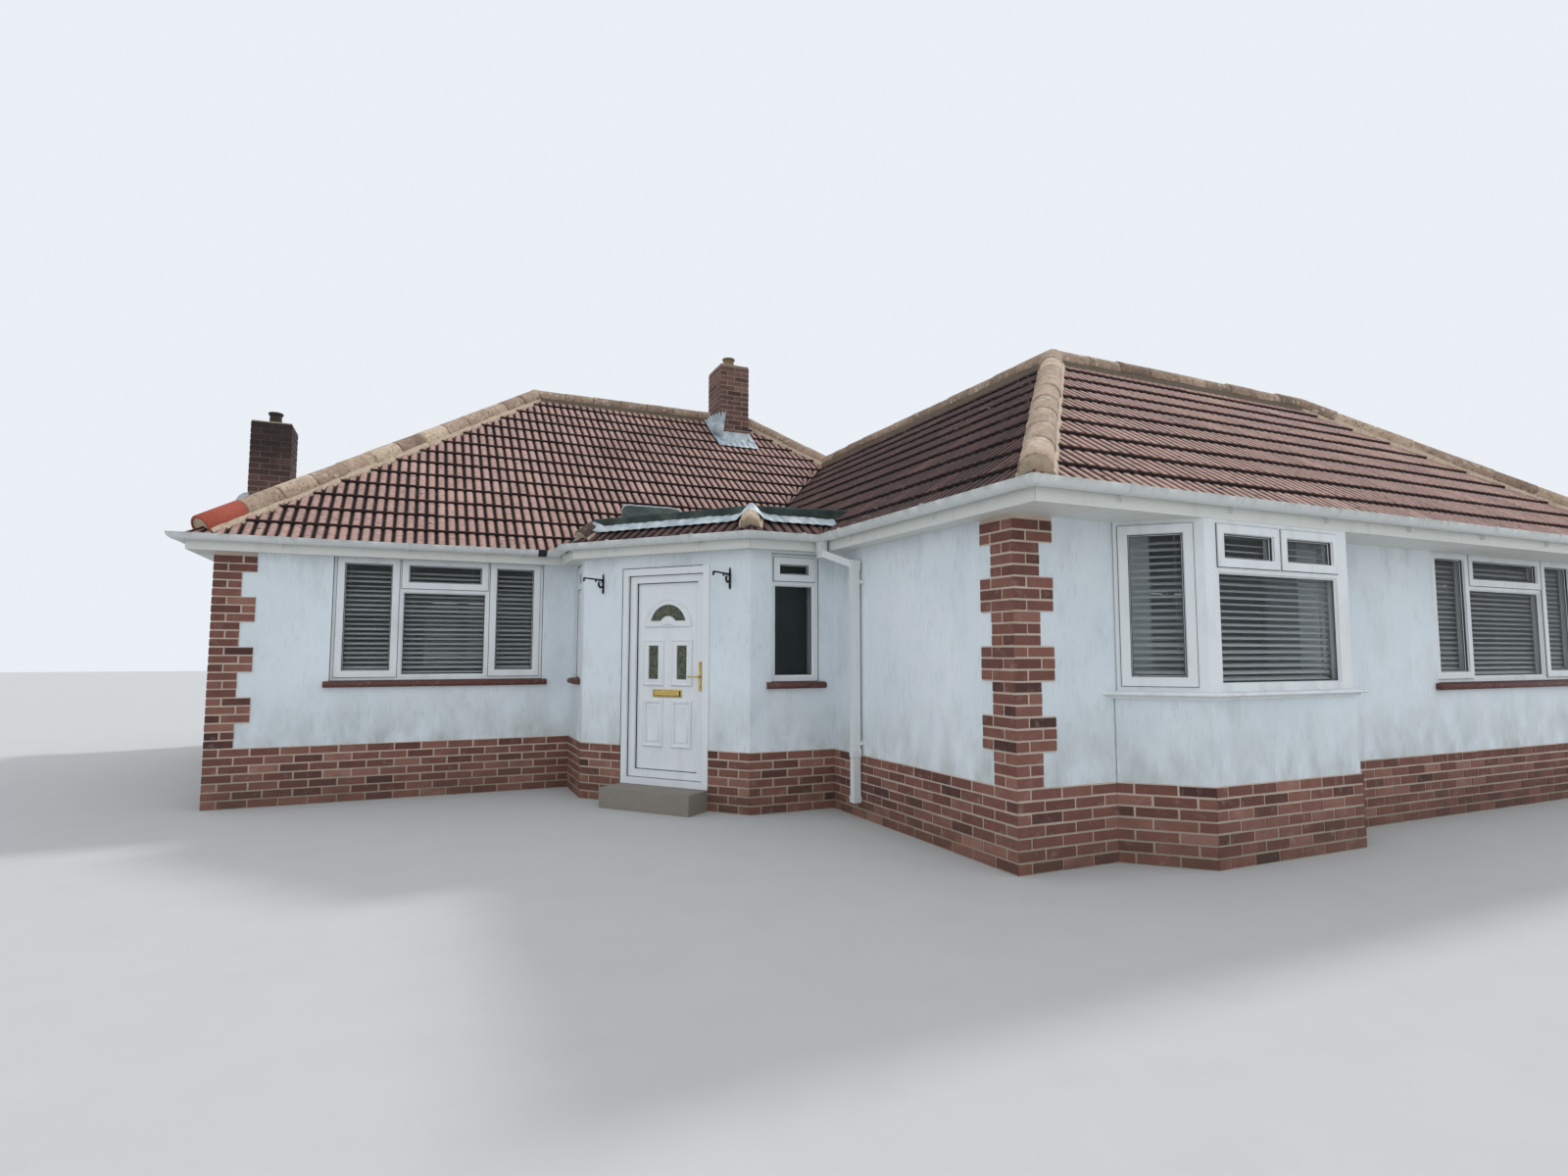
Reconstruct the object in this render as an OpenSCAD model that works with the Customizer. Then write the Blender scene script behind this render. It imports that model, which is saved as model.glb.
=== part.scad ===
/* [Plan] */
// Width of the main block across its front
main_w = 9488; // [9400:1:9600]
// Depth of the main block from its front wall to its back wall
main_d = 6358; // [6300:1:6420]
// How far the main front stands behind the wing front
main_setback = 4556; // [4500:1:4600]
// Width of the link that joins the main block to the wing
link_w = 4380; // [4350:1:4420]
// Width of the wing across its front
wing_w = 8100; // [7900:1:8300]
// Depth of the wing at its free end
wing_d = 4140; // [4100:1:4180]
// Thickness of an outside wall
wall_t = 270; // [255:5:300]
// How far the brick faces stand proud of the render
render_set = 8; // [5:1:12]

/* [Porch] */
// How far the porch reaches left of the link wall
porch_w = 1982; // [1950:1:2010]
// Width of the porch's left face
porch_side = 689; // [670:1:700]
// Width of the porch's right face
porch_flat = 819; // [800:1:840]
// Distance of the porch's right face behind the wing front
porch_front = 2430; // [2400:1:2460]

/* [Bay] */
// Distance of the bay from the wing corner
bay_x = 834; // [800:1:900]
// Width of the bay where it leaves the wall
bay_w = 2356; // [2300:1:2400]
// How far the bay stands forward
bay_proj = 419; // [400:1:430]
// How far the bay sill stands proud of the bay wall
bay_sill_nose = 60; // [40:1:80]

/* [Heights] */
// Height of one brick course with its joint
course = 75; // [70:1:80]
// Courses in the brick plinth
plinth_courses = 7; // [6:1:8]
// Soffit height above the plinth
soffit_z = 1751; // [1740:1:1765]
// Height of the tiled surface where it passes the fascia
tile_z = 1906; // [1896:1:1916]
// Height of the floor above the ground
floor_h = 195; // [180:5:210]
// Underside of the ceiling above the plinth
ceiling_z = 1900; // [1890:1:1910]
// Thickness of the ceiling with its joists
ceiling_t = 60; // [40:5:70]

/* [Roof] */
// Pitch of every tiled slope
pitch = 38.3; // [37:0.1:40]
// Upright thickness of the roof build-up, to the middle of the rolls of its tiles
slab_t = 130; // [110:5:140]
// How far the highest tiles rise above the build-up
tile_relief = 10; // [5:1:20]
// Overhang along the main front
over_main = 100; // [90:1:120]
// Overhang along the main left end
over_left = 200; // [180:1:220]
// Overhang along the wing front
over_wing = 400; // [380:1:420]
// Overhang along the remaining walls
over_rest = 160; // [150:1:170]
// Overhang round the porch
over_porch = 118; // [110:1:126]
// Height of the porch's flat roof near the door wall
deck_z = 2101; // [2096:1:2106]
// Rise of the flat roof over its run
deck_rise = 0.03; // [0.02:0.01:0.04]
// Radius of the half-round ridge and hip tiles
ridge_r = 112; // [105:1:120]

/* [Eaves] */
// Thickness of the fascia board
fascia_t = 22; // [18:1:25]
// Height of the fascia board
fascia_h = 110; // [100:1:113]
// Radius of the half-round gutter
gutter_r = 58; // [52:1:62]
// Side of the square downpipes
pipe_w = 65; // [60:1:70]

/* [Windows and door] */
// Visible face of a window frame
frame_face = 45; // [40:1:55]
// Depth of a window frame
frame_d = 70; // [60:1:75]
// How far the windows stand back from the brick face
frame_set = 44; // [35:1:60]
// Visible face of an opening light
sash_face = 58; // [50:1:65]
// Width of the door frame
door_w = 955; // [940:1:970]
// Height of the door frame
door_h = 1985; // [1970:1:2000]
// Thickness of the door leaf
leaf_t = 65; // [60:1:70]
// Gap round the door leaf
leaf_gap = 8; // [7:1:10]

/* [Chimneys] */
// Width of each chimney stack across the front
stack_w = 440; // [430:1:450]
// Top of the left stack above the plinth
left_stack_z = 3750; // [3700:10:3800]
// Top of the right stack above the plinth
right_stack_z = 5190; // [5150:10:5250]
// How far the left chimney breast stands out from the end wall
breast_d = 432; // [420:1:440]

/* [Hidden] */

// Far larger than the house, for cutting tools
far = 40000;
// Gap that keeps neighbouring pieces of one node apart
joint = 3;
// Gap where pieces that meet at a slant are fitted to each other
fit = 0.5;
plinth_h = course * plinth_courses;
back_y = main_setback + main_d;
left_x = link_w - main_w;
gutter_out = 2 * gutter_r + 4;
roof_build = tile_relief + slab_t;
// Middle of the house over its gutters and chimney breast, which the origin stands under
centre_x = (left_x - breast_d + wing_w + over_rest + gutter_out) / 2;
centre_y = (back_y + over_rest - over_wing) / 2;

white = "#e9ebe8";
render_white = "#dcdedb";
brick = "#8c4b3c";
tile_red = "#7d4038";
lead = "#9aa1a6";
timber = "#c9c4b4";
brass = "#b8964a";
dark = "#26282a";

// Outside corners of the walls, anticlockwise from the wing's front left corner
walls = [[0, 0], [wing_w, 0], [wing_w, wing_d], [link_w, wing_d], [link_w, back_y],
         [left_x, back_y], [left_x, main_setback], [-porch_w, main_setback],
         [-porch_w, main_setback - porch_side], [-porch_flat, porch_front], [0, porch_front]];
// Roof overhang of the wall that starts at each corner
overhang = [over_wing, over_rest, over_rest, over_rest, over_rest, over_left, over_main,
            over_porch, over_porch, over_porch, over_rest];
// Corners of the bay, from the wing front round its three faces and back inside
bay = [[bay_x, 0], [bay_x + bay_proj, -bay_proj], [bay_x + bay_w - bay_proj, -bay_proj],
       [bay_x + bay_w, 0], [bay_x + bay_w, wall_t], [bay_x, wall_t]];

// Names for the walls by the corner where each starts
WING_FRONT = 0; WING_END = 1; WING_BACK = 2; COURTYARD = 3; MAIN_BACK = 4; MAIN_LEFT = 5;
MAIN_FRONT = 6; PORCH_LEFT = 7; PORCH_DOOR = 8; PORCH_RIGHT = 9; LINK = 10;

function wrap(loop, i) = (i + len(loop)) % len(loop);
function along(loop, i) = let(v = loop[wrap(loop, i + 1)] - loop[i]) v / norm(v);
function outward(loop, i) = let(d = along(loop, i)) [d.y, -d.x];
function wall_length(loop, i) = norm(loop[wrap(loop, i + 1)] - loop[i]);
// Line a x + b y + c = 0 that runs beside a wall, at a distance outside its face
function line_beside(loop, i, out) = let(n = outward(loop, i)) [n.x, n.y, -(n * loop[i] + out)];
function meet(l, m) = [l.y * m.z - m.y * l.z, m.x * l.z - l.x * m.z] / (l.x * m.y - m.x * l.y);
// Where the lines beside two walls that share a corner meet
function corner(loop, i, out_before, out_after) =
    meet(line_beside(loop, wrap(loop, i - 1), out_before), line_beside(loop, i, out_after));

// A roof plane is z = a x + b y + c, worked out from its eave line and its slope
function plane_from(i, out, z, rise) =
    let(n = outward(walls, i)) [-rise * n.x, -rise * n.y, z + rise * (n * walls[i] + out)];
function roof_plane(i) = plane_from(i, overhang[i], tile_z, tan(pitch));
deck_start = 200;
deck_plane = plane_from(PORCH_DOOR, -deck_start, deck_z, deck_rise);
function height(plane, p) = plane.x * p.x + plane.y * p.y + plane.z;
// Two planes meet above this line in plan
function seam(p, q) = p - q;
function eave(i, back = 0) = corner(walls, i, overhang[wrap(walls, i - 1)] - back, overhang[i] - back);

// Distance inside the porch walls where the tiles stop and the flat roof starts
cap_in = 96;
function capping(i) = line_beside(walls, i, -cap_in);

// Meeting points of the roof, each where two seams or a seam and a capping cross
function roof_point(i, j, k) = meet(seam(roof_plane(i), roof_plane(j)), seam(roof_plane(j), roof_plane(k)));
ridge_left = roof_point(MAIN_FRONT, MAIN_LEFT, MAIN_BACK);
ridge_right = roof_point(MAIN_FRONT, COURTYARD, MAIN_BACK);
valley_top = roof_point(MAIN_FRONT, LINK, COURTYARD);
wing_ridge_left = roof_point(WING_FRONT, LINK, COURTYARD);
wing_ridge_right = roof_point(WING_FRONT, WING_END, WING_BACK);
apron_left = meet(seam(roof_plane(MAIN_FRONT), roof_plane(PORCH_LEFT)), capping(PORCH_LEFT));
apron_right = meet(seam(roof_plane(LINK), roof_plane(PORCH_RIGHT)), capping(PORCH_RIGHT));
deck_left = meet(seam(roof_plane(MAIN_FRONT), deck_plane), capping(PORCH_LEFT));
deck_right = meet(seam(roof_plane(LINK), deck_plane), capping(PORCH_RIGHT));
deck_back = meet(seam(roof_plane(LINK), deck_plane), seam(roof_plane(MAIN_FRONT), deck_plane));
cap_left = meet(capping(PORCH_LEFT), capping(PORCH_DOOR));
cap_right = meet(capping(PORCH_DOOR), capping(PORCH_RIGHT));

module place() { translate([-centre_x, -centre_y, plinth_h]) children(); }

// Puts children at a distance along a wall: X runs along it, Y inwards, Z up
module on_wall(i, s = 0) {
    d = along(walls, i);
    translate([walls[i].x, walls[i].y, 0] + s * [d.x, d.y, 0]) rotate(atan2(d.y, d.x)) children();
}

// Upright strip beside one wall between two offsets, mitred to its neighbours
module strip(loop, i, outs_before, outs, outs_after, z0, z1, trim = 0) {
    d = along(loop, i);
    j = wrap(loop, i + 1);
    translate([0, 0, z0]) linear_extrude(z1 - z0) polygon([
        corner(loop, i, outs_before[0], outs[0]) + trim * d,
        corner(loop, j, outs[0], outs_after[0]) - trim * d,
        corner(loop, j, outs[1], outs_after[1]) - trim * d,
        corner(loop, i, outs_before[1], outs[1]) + trim * d]);
}
// The same with one pair of offsets on all three walls
module even_strip(loop, i, outer, inner, z0, z1, trim = 0) {
    strip(loop, i, [outer, inner], [outer, inner], [outer, inner], z0, z1, trim);
}
// A strip that follows the eaves, its offsets counted outwards from the fascia's face
module eave_strip(i, outer, inner, z0, z1, trim = 0) {
    o = overhang;
    p = o[wrap(walls, i - 1)];
    n = o[wrap(walls, i + 1)];
    strip(walls, i, [p + outer, p + inner], [o[i] + outer, o[i] + inner], [n + outer, n + inner], z0, z1, trim);
}

// Everything between two surfaces that lie a given height above and below a roof plane
module layer(plane, top, depth) {
    slope = atan(norm([plane.x, plane.y]));
    translate([0, 0, plane.z + top - depth]) rotate(atan2(plane.y, plane.x)) rotate([0, -slope, 0])
        translate([-far / 2, -far / 2, 0]) cube([far, far, depth * cos(slope)]);
}
module above(plane, lift) { layer(plane, far / 2 + lift, far / 2); }
module below(plane, lift) { layer(plane, lift, far / 4); }

// Round bar from one point to another
module rod(p, q, r) {
    v = q - p;
    translate(p) rotate([0, acos(v.z / norm(v)), atan2(v.y, v.x)]) cylinder(h = norm(v), r = r, $fn = 48);
}
// Square bar from one point to another
module bar(p, q, w) {
    v = q - p;
    translate(p) rotate([0, acos(v.z / norm(v)), atan2(v.y, v.x)])
        translate([-w / 2, -w / 2, 0]) cube([w, w, norm(v)]);
}
module prism(points, z0, z1) { translate([0, 0, z0]) linear_extrude(z1 - z0) polygon(points); }

// Brick quoins

quoin_courses = 3;
quoin_short = 215;
quoin_long = 327.5;
half_brick = 102.5;
quoin_corners = [0, 1, 2, 4, 5, 6];
module corner_bracket(w) {
    polygon([[0, 0], [w, 0], [w, half_brick], [half_brick, half_brick], [half_brick, w], [0, w]]);
}
module quoin(i) {
    step = course * quoin_courses;
    on_wall(i) {
        linear_extrude(soffit_z) corner_bracket(quoin_short);
        for (z = [step : 2 * step : soffit_z - 1]) translate([0, 0, z])
            linear_extrude(min(step, soffit_z - z)) corner_bracket(quoin_long);
    }
}
module brick_quoins() { color(brick) place() for (i = quoin_corners) quoin(i); }

// Openings: [wall, distance along it, width, sill top, head, columns of lights]
// A column is [left, right, height of its transom or 0, lower light opens, upper light opens]

head_z = 1795;
main_opening = [MAIN_FRONT, 933, 1915, 585, head_z,
    [[0, 575, 0, true, false], [575, 1385, 877, false, true], [1385, 1915, 0, true, false]]];
wing_opening = [WING_FRONT, 4630, 2490, 600, head_z,
    [[0, 620, 0, true, false], [620, 1870, 862, false, true], [1870, 2490, 0, true, false]]];
porch_right_opening = [PORCH_RIGHT, 204, 475, 600, 1735, [[0, 475, 880, false, true]]];
porch_left_opening = [PORCH_LEFT, 170, 350, 600, 1735, [[0, 350, 880, false, true]]];
rear_w = 1200;
function rear_opening(wall, s) = [wall, s, rear_w, 600, head_z,
    [[0, 600, 0, true, false], [600, rear_w, 862, false, true]]];
back_right_opening = rear_opening(MAIN_BACK, 1500);
back_left_opening = rear_opening(MAIN_BACK, 6500);
courtyard_opening = rear_opening(COURTYARD, 2800);
wing_back_opening = rear_opening(WING_BACK, 1300);
wing_end_opening = rear_opening(WING_END, 1470);
left_opening = rear_opening(MAIN_LEFT, 4100);
rear_openings = [back_right_opening, back_left_opening, courtyard_opening, wing_back_opening,
                 wing_end_opening, left_opening];

sill_t = 45;
sill_nose = 45;
sill_horn = 45;
module sill_block(o) {
    on_wall(o[0], o[1] - sill_horn) translate([0, -sill_nose, o[3] - sill_t])
        cube([o[2] + 2 * sill_horn, sill_nose + frame_set, sill_t]);
}
module opening_cut(o) {
    on_wall(o[0], o[1]) translate([0, -joint, o[3]]) cube([o[2], wall_t + 2 * joint, o[4] - o[3]]);
    on_wall(o[0], o[1]) translate([0, frame_set, o[3] - sill_t]) cube([o[2], frame_d, sill_t]);
    sill_block(o);
}

// Frames, with an opening light as a ring that stands a little proud

mullion = 45;
sash_proud = 14;
glass_t = 24;
glass_back = 22;
function clear_left(o, c) = c[0] == 0 ? frame_face : c[0] + mullion / 2;
function clear_right(o, c) = c[1] == o[2] ? o[2] - frame_face : c[1] - mullion / 2;
// Lights of one opening: [left, right, bottom, top, opens], heights from the sill
function lights(o) = let(h = o[4] - o[3]) [for (c = o[5]) each (c[2] == 0
    ? [[clear_left(o, c), clear_right(o, c), frame_face, h - frame_face, c[3]]]
    : [[clear_left(o, c), clear_right(o, c), frame_face, c[2] - mullion / 2, c[3]],
       [clear_left(o, c), clear_right(o, c), c[2] + mullion / 2, h - frame_face, c[4]]])];
function light_inset(l) = l[4] ? sash_face - sash_lap : 0;
sash_lap = 12;
module light_hole(l, y0, depth) {
    b = light_inset(l);
    translate([l[0] + b, y0, l[2] + b]) cube([l[1] - l[0] - 2 * b, depth, l[3] - l[2] - 2 * b]);
}
module sash_ring(l) {
    translate([l[0] - sash_lap, -sash_proud, l[2] - sash_lap])
        cube([l[1] - l[0] + 2 * sash_lap, sash_proud + joint, l[3] - l[2] + 2 * sash_lap]);
}
module frame_solid(o) {
    difference() {
        union() {
            cube([o[2], frame_d, o[4] - o[3]]);
            for (l = lights(o)) if (l[4]) sash_ring(l);
        }
        for (l = lights(o)) light_hole(l, -frame_d, 3 * frame_d);
    }
    translate([0, 0, -sill_t]) cube([o[2], frame_d, sill_t]);
}
module window_frame(o) { on_wall(o[0], o[1]) translate([0, frame_set, o[3]]) frame_solid(o); }
module glazing(o) {
    on_wall(o[0], o[1]) translate([0, frame_set, o[3]]) for (l = lights(o)) light_hole(l, glass_back, glass_t);
}
module main_window() { color(white) place() window_frame(main_opening); }
module wing_window() { color(white) place() window_frame(wing_opening); }
module porch_windows() {
    color(white) place() { window_frame(porch_left_opening); window_frame(porch_right_opening); }
}
module rear_windows() { color(white) place() for (o = rear_openings) window_frame(o); }
module window_sills() {
    color(brick) place() {
        for (o = [main_opening, wing_opening, porch_right_opening, porch_left_opening]) sill_block(o);
        for (o = rear_openings) sill_block(o);
    }
}

// Bay: its frame follows the three faces, one polygon with mitred corners

bay_set = 24;
bay_sill_z = 604;
bay_sill_t = 52;
bay_head_z = soffit_z;
bay_transom_z = 1420;
module bay_ring(outer, inner, z0, z1) {
    a = line_beside(bay, 0, outer);
    b = line_beside(bay, 1, outer);
    c = line_beside(bay, 2, outer);
    d = line_beside(bay, 0, inner);
    e = line_beside(bay, 1, inner);
    f = line_beside(bay, 2, inner);
    front = [0, 1, 0];
    prism([meet(a, front), meet(a, b), meet(b, c), meet(c, front),
           meet(f, front), meet(e, f), meet(d, e), meet(d, front)], z0, z1);
}
module on_bay(i, s = 0) {
    d = along(bay, i);
    translate([bay[i].x, bay[i].y, 0] + s * [d.x, d.y, 0]) rotate(atan2(d.y, d.x)) children();
}
cant_w = wall_length(bay, 0);
front_w = wall_length(bay, 1);
bay_post = 118;
front_post = 138;
// Lights of the bay: [face, left, right, bottom, top, opens]
bay_mid = front_w / 2;
bay_lights = [
    [0, 66, cant_w - bay_post + 30, bay_sill_z + frame_face, bay_head_z - frame_face, true],
    [1, front_post, front_w - front_post, bay_sill_z + frame_face, bay_transom_z - mullion / 2, false],
    [1, front_post, bay_mid - mullion / 2, bay_transom_z + mullion / 2, bay_head_z - frame_face, true],
    [1, bay_mid + mullion / 2, front_w - front_post, bay_transom_z + mullion / 2,
        bay_head_z - frame_face, true],
    [2, bay_post - 30, cant_w - 66, bay_sill_z + frame_face, bay_head_z - frame_face, true]];
function bay_light(b) = [b[1], b[2], b[3], b[4], b[5]];
module bay_window() {
    color(white) place() difference() {
        union() {
            bay_ring(-bay_set, -bay_set - frame_d, bay_sill_z, bay_head_z);
            for (b = bay_lights) if (b[5]) on_bay(b[0]) translate([0, bay_set, 0]) sash_ring(bay_light(b));
        }
        for (b = bay_lights) on_bay(b[0]) light_hole(bay_light(b), -frame_d, 3 * frame_d);
    }
}
module bay_glazing() {
    for (b = bay_lights) on_bay(b[0]) translate([0, bay_set, 0]) light_hole(bay_light(b), glass_back, glass_t);
}
module bay_sill() {
    color(white) place() bay_ring(bay_sill_nose, -bay_set - frame_d, bay_sill_z - bay_sill_t, bay_sill_z);
}
module bay_wall() {
    color(render_white) place() bay_ring(-render_set, -wall_t, 0, bay_sill_z - bay_sill_t);
}
module window_glass() {
    color("#9fb4bd", 0.4) place() {
        for (o = [main_opening, wing_opening, porch_right_opening, porch_left_opening]) glazing(o);
        for (o = rear_openings) glazing(o);
        bay_glazing();
    }
}

// Blinds hang behind the glass of the three front windows

blind_t = 30;
blind_gap = 12;
// How far the blinds of the bay's side faces stop from the wall that the bay stands against
blind_in = 130;
module blind(o) {
    on_wall(o[0], o[1]) translate([frame_face, frame_set + frame_d + blind_gap, o[3] + frame_face])
        cube([o[2] - 2 * frame_face, blind_t, o[4] - o[3] - 2 * frame_face]);
}
module window_blinds() {
    color("#b9bdbb") place() {
        blind(main_opening);
        blind(wing_opening);
        bay_blind(0, blind_in, cant_w - bay_post + 30);
        bay_blind(1, front_post, front_w - front_post);
        bay_blind(2, bay_post - 30, cant_w - blind_in);
    }
}
module bay_blind(face, s0, s1) {
    on_bay(face) translate([s0, bay_set + frame_d + blind_gap, bay_sill_z + frame_face])
        cube([s1 - s0, blind_t, bay_head_z - bay_sill_z - 2 * frame_face]);
}

// Masonry

wall_top = 2300;
bay_inner_x0 = bay_x + wall_t * sqrt(2);
bay_inner_x1 = bay_x + bay_w - wall_t * sqrt(2);
module wall_block(i) { even_strip(walls, i, -render_set, -wall_t, 0, wall_top); }
// Cuts a wall back to the underside of the slopes above it and to its quoins
module masonry(slopes) {
    color(render_white) place() difference() {
        children(0);
        for (i = slopes) above(roof_plane(i), -roof_build);
        for (i = quoin_corners) quoin(i);
        children(1);
    }
}
module main_front_wall() {
    masonry([MAIN_LEFT, MAIN_FRONT]) {
        wall_block(MAIN_FRONT);
        union() { opening_cut(main_opening); deck_block(); }
    }
}
module main_left_wall() {
    masonry([MAIN_BACK, MAIN_LEFT, MAIN_FRONT]) {
        wall_block(MAIN_LEFT);
        union() { opening_cut(left_opening); left_stack_block(); }
    }
}
module main_back_wall() {
    masonry([COURTYARD, MAIN_BACK, MAIN_LEFT]) {
        wall_block(MAIN_BACK);
        union() { opening_cut(back_left_opening); opening_cut(back_right_opening); }
    }
}
module courtyard_wall() {
    masonry([COURTYARD, MAIN_BACK]) { wall_block(COURTYARD); opening_cut(courtyard_opening); }
}
module wing_back_wall() {
    masonry([WING_BACK, WING_END]) { wall_block(WING_BACK); opening_cut(wing_back_opening); }
}
module wing_end_wall() {
    masonry([WING_FRONT, WING_END, WING_BACK]) { wall_block(WING_END); opening_cut(wing_end_opening); }
}
module wing_front_wall() {
    masonry([WING_FRONT, WING_END]) {
        intersection() {
            wall_block(WING_FRONT);
            translate([bay_inner_x1, -far / 2, 0]) cube([far, far, far]);
        }
        opening_cut(wing_opening);
    }
}
module wing_corner_wall() {
    masonry([WING_FRONT, LINK]) {
        intersection() {
            wall_block(WING_FRONT);
            translate([bay_inner_x0 - far, -far / 2, 0]) cube([far, far, far]);
        }
        union() {}
    }
}
soffit_t = 9;
module bay_beam() {
    masonry([WING_FRONT]) {
        translate([bay_inner_x0, render_set, soffit_z + soffit_t])
            cube([bay_inner_x1 - bay_inner_x0, wall_t - render_set, wall_top]);
        union() {}
    }
}
module link_wall() { masonry([WING_FRONT, LINK]) { wall_block(LINK); deck_block(); } }
module porch_cut() { above(deck_plane, -deck_t); }
// Everything over the underside of a slope within its outline
module slope_block(i, points) {
    intersection() {
        prism(points, 0, far / 4);
        above(roof_plane(i), -roof_build);
    }
}
module porch_left_wall() {
    masonry([PORCH_LEFT, PORCH_DOOR]) {
        union() {
            wall_block(PORCH_LEFT);
            intersection() { wall_block(PORCH_DOOR); door_side(-door_w, door_s - fit); }
        }
        union() { opening_cut(porch_left_opening); porch_cut(); slope_block(MAIN_FRONT, front_outline); }
    }
}
module porch_right_wall() {
    masonry([PORCH_RIGHT, PORCH_DOOR]) {
        union() {
            wall_block(PORCH_RIGHT);
            intersection() { wall_block(PORCH_DOOR); door_side(door_s + door_w + fit, 3 * door_w); }
        }
        union() { opening_cut(porch_right_opening); porch_cut(); slope_block(LINK, link_outline); }
    }
}
module porch_head_wall() {
    masonry([PORCH_DOOR]) {
        intersection() {
            wall_block(PORCH_DOOR);
            door_side(door_s, door_s + door_w);
            translate([-far / 2, -far / 2, door_z + door_h + fit]) cube([far, far, far]);
        }
        porch_cut();
    }
}
module door_side(s0, s1) {
    on_wall(PORCH_DOOR, s0) translate([0, -wall_t, 0]) cube([s1 - s0, 3 * wall_t, far]);
}

// Plinth and floor, all down to the ground

module plinth_strip(i) { even_strip(walls, i, 0, fit - wall_t, -plinth_h, 0, joint / 2); }
module front_plinth() {
    color(brick) place() {
        for (i = [MAIN_FRONT, PORCH_LEFT, PORCH_RIGHT, LINK]) plinth_strip(i);
        difference() {
            plinth_strip(PORCH_DOOR);
            on_wall(PORCH_DOOR, door_s) translate([0, -wall_t, door_z]) cube([door_w, 3 * wall_t, far]);
        }
    }
}
module wing_plinth() {
    color(brick) place() {
        plinth_strip(WING_END);
        intersection() {
            plinth_strip(WING_FRONT);
            translate([bay_inner_x1, -far / 2, -far / 2]) cube([far, far, far]);
        }
        intersection() {
            plinth_strip(WING_FRONT);
            translate([bay_inner_x0 - far, -far / 2, -far / 2]) cube([far, far, far]);
        }
        bay_plinth_face(0, 0);
        bay_plinth_face(1, joint);
        bay_plinth_face(2, 0);
    }
}
// One face of the bay plinth: the cants stop where they reach the wing front
module bay_plinth_face(i, trim) {
    intersection() {
        even_strip(bay, i, 0, -wall_t, -plinth_h, 0, trim);
        translate([-far / 2, -far, -far / 2]) cube([far, far - joint, far]);
    }
}
module rear_plinth() {
    color(brick) place() for (i = [WING_BACK, COURTYARD, MAIN_BACK, MAIN_LEFT]) plinth_strip(i);
}
function inner_corner(i) = corner(walls, i, -wall_t, -wall_t);
inner_outline = [for (i = [0 : len(walls) - 1]) inner_corner(i)];
bay_inner = [for (i = [1, 2]) corner(bay, i, -wall_t, -wall_t)];
module floor_slab() {
    color("#8f8b84") place() prism(concat([inner_outline[0], [bay_inner_x0, wall_t],
        [bay_inner_x0, 0]], bay_inner, [[bay_inner_x1, 0], [bay_inner_x1, wall_t]],
        [for (i = [1 : len(walls) - 1]) inner_outline[i]]), -plinth_h, floor_h - plinth_h);
}
module ceiling() { color("#e6e4de") place() prism(inner_outline, ceiling_z, ceiling_z + ceiling_t); }

// Roof

function slope_eave(i) = eave(i, fascia_t + fit);
module slope(i, points) {
    color(tile_red) place() intersection() {
        prism(points, 0, far / 4);
        layer(roof_plane(i), -tile_relief, slab_t);
    }
}
front_outline = [slope_eave(6), slope_eave(7), apron_left, deck_left, deck_back, valley_top, ridge_right,
                 ridge_left];
link_outline = [slope_eave(10), slope_eave(0), wing_ridge_left, valley_top, deck_back, deck_right,
                apron_right];
module main_front_slope() {
    difference() {
        slope(MAIN_FRONT, front_outline);
        place() right_stack_block();
    }
}
module main_left_slope() {
    difference() {
        slope(MAIN_LEFT, [slope_eave(5), slope_eave(6), ridge_left]);
        place() left_stack_block();
    }
}
module main_back_slope() { slope(MAIN_BACK, [slope_eave(4), slope_eave(5), ridge_left, ridge_right]); }
module main_right_slope() {
    slope(COURTYARD, [slope_eave(3), slope_eave(4), ridge_right, valley_top, wing_ridge_left]);
}
module wing_back_slope() { slope(WING_BACK, [slope_eave(2), slope_eave(3), wing_ridge_left, wing_ridge_right]); }
module wing_end_slope() { slope(WING_END, [slope_eave(1), slope_eave(2), wing_ridge_right]); }
module wing_front_slope() { slope(WING_FRONT, [slope_eave(0), slope_eave(1), wing_ridge_right, wing_ridge_left]); }
module link_slope() { slope(LINK, link_outline); }
module porch_apron() {
    slope(PORCH_LEFT, [slope_eave(7), slope_eave(8), cap_left, apron_left]);
    slope(PORCH_DOOR, [slope_eave(8), slope_eave(9), cap_right, cap_left]);
    slope(PORCH_RIGHT, [slope_eave(9), slope_eave(10), apron_right, cap_right]);
}
deck_t = 130;
module deck_block() {
    intersection() {
        prism([deck_left, cap_left, cap_right, deck_right, deck_back], 0, far / 4);
        layer(deck_plane, 0, deck_t);
    }
}
module porch_flat_roof() { color("#3f4644") place() deck_block(); }

// Half-round tiles along a ridge or hip, seated on the slopes that meet under them
ridge_drop = 20;
// How far up from the corner of the eaves a hip's lowest tile starts
hip_foot = 125;
// Half of the angle in plan between a run and its neighbour, where both are cut to a mitre
square_end = 90;
hip_mitre = 45;
ridge_mitre = 67.5;
bend_mitre = 112.5;
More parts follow.
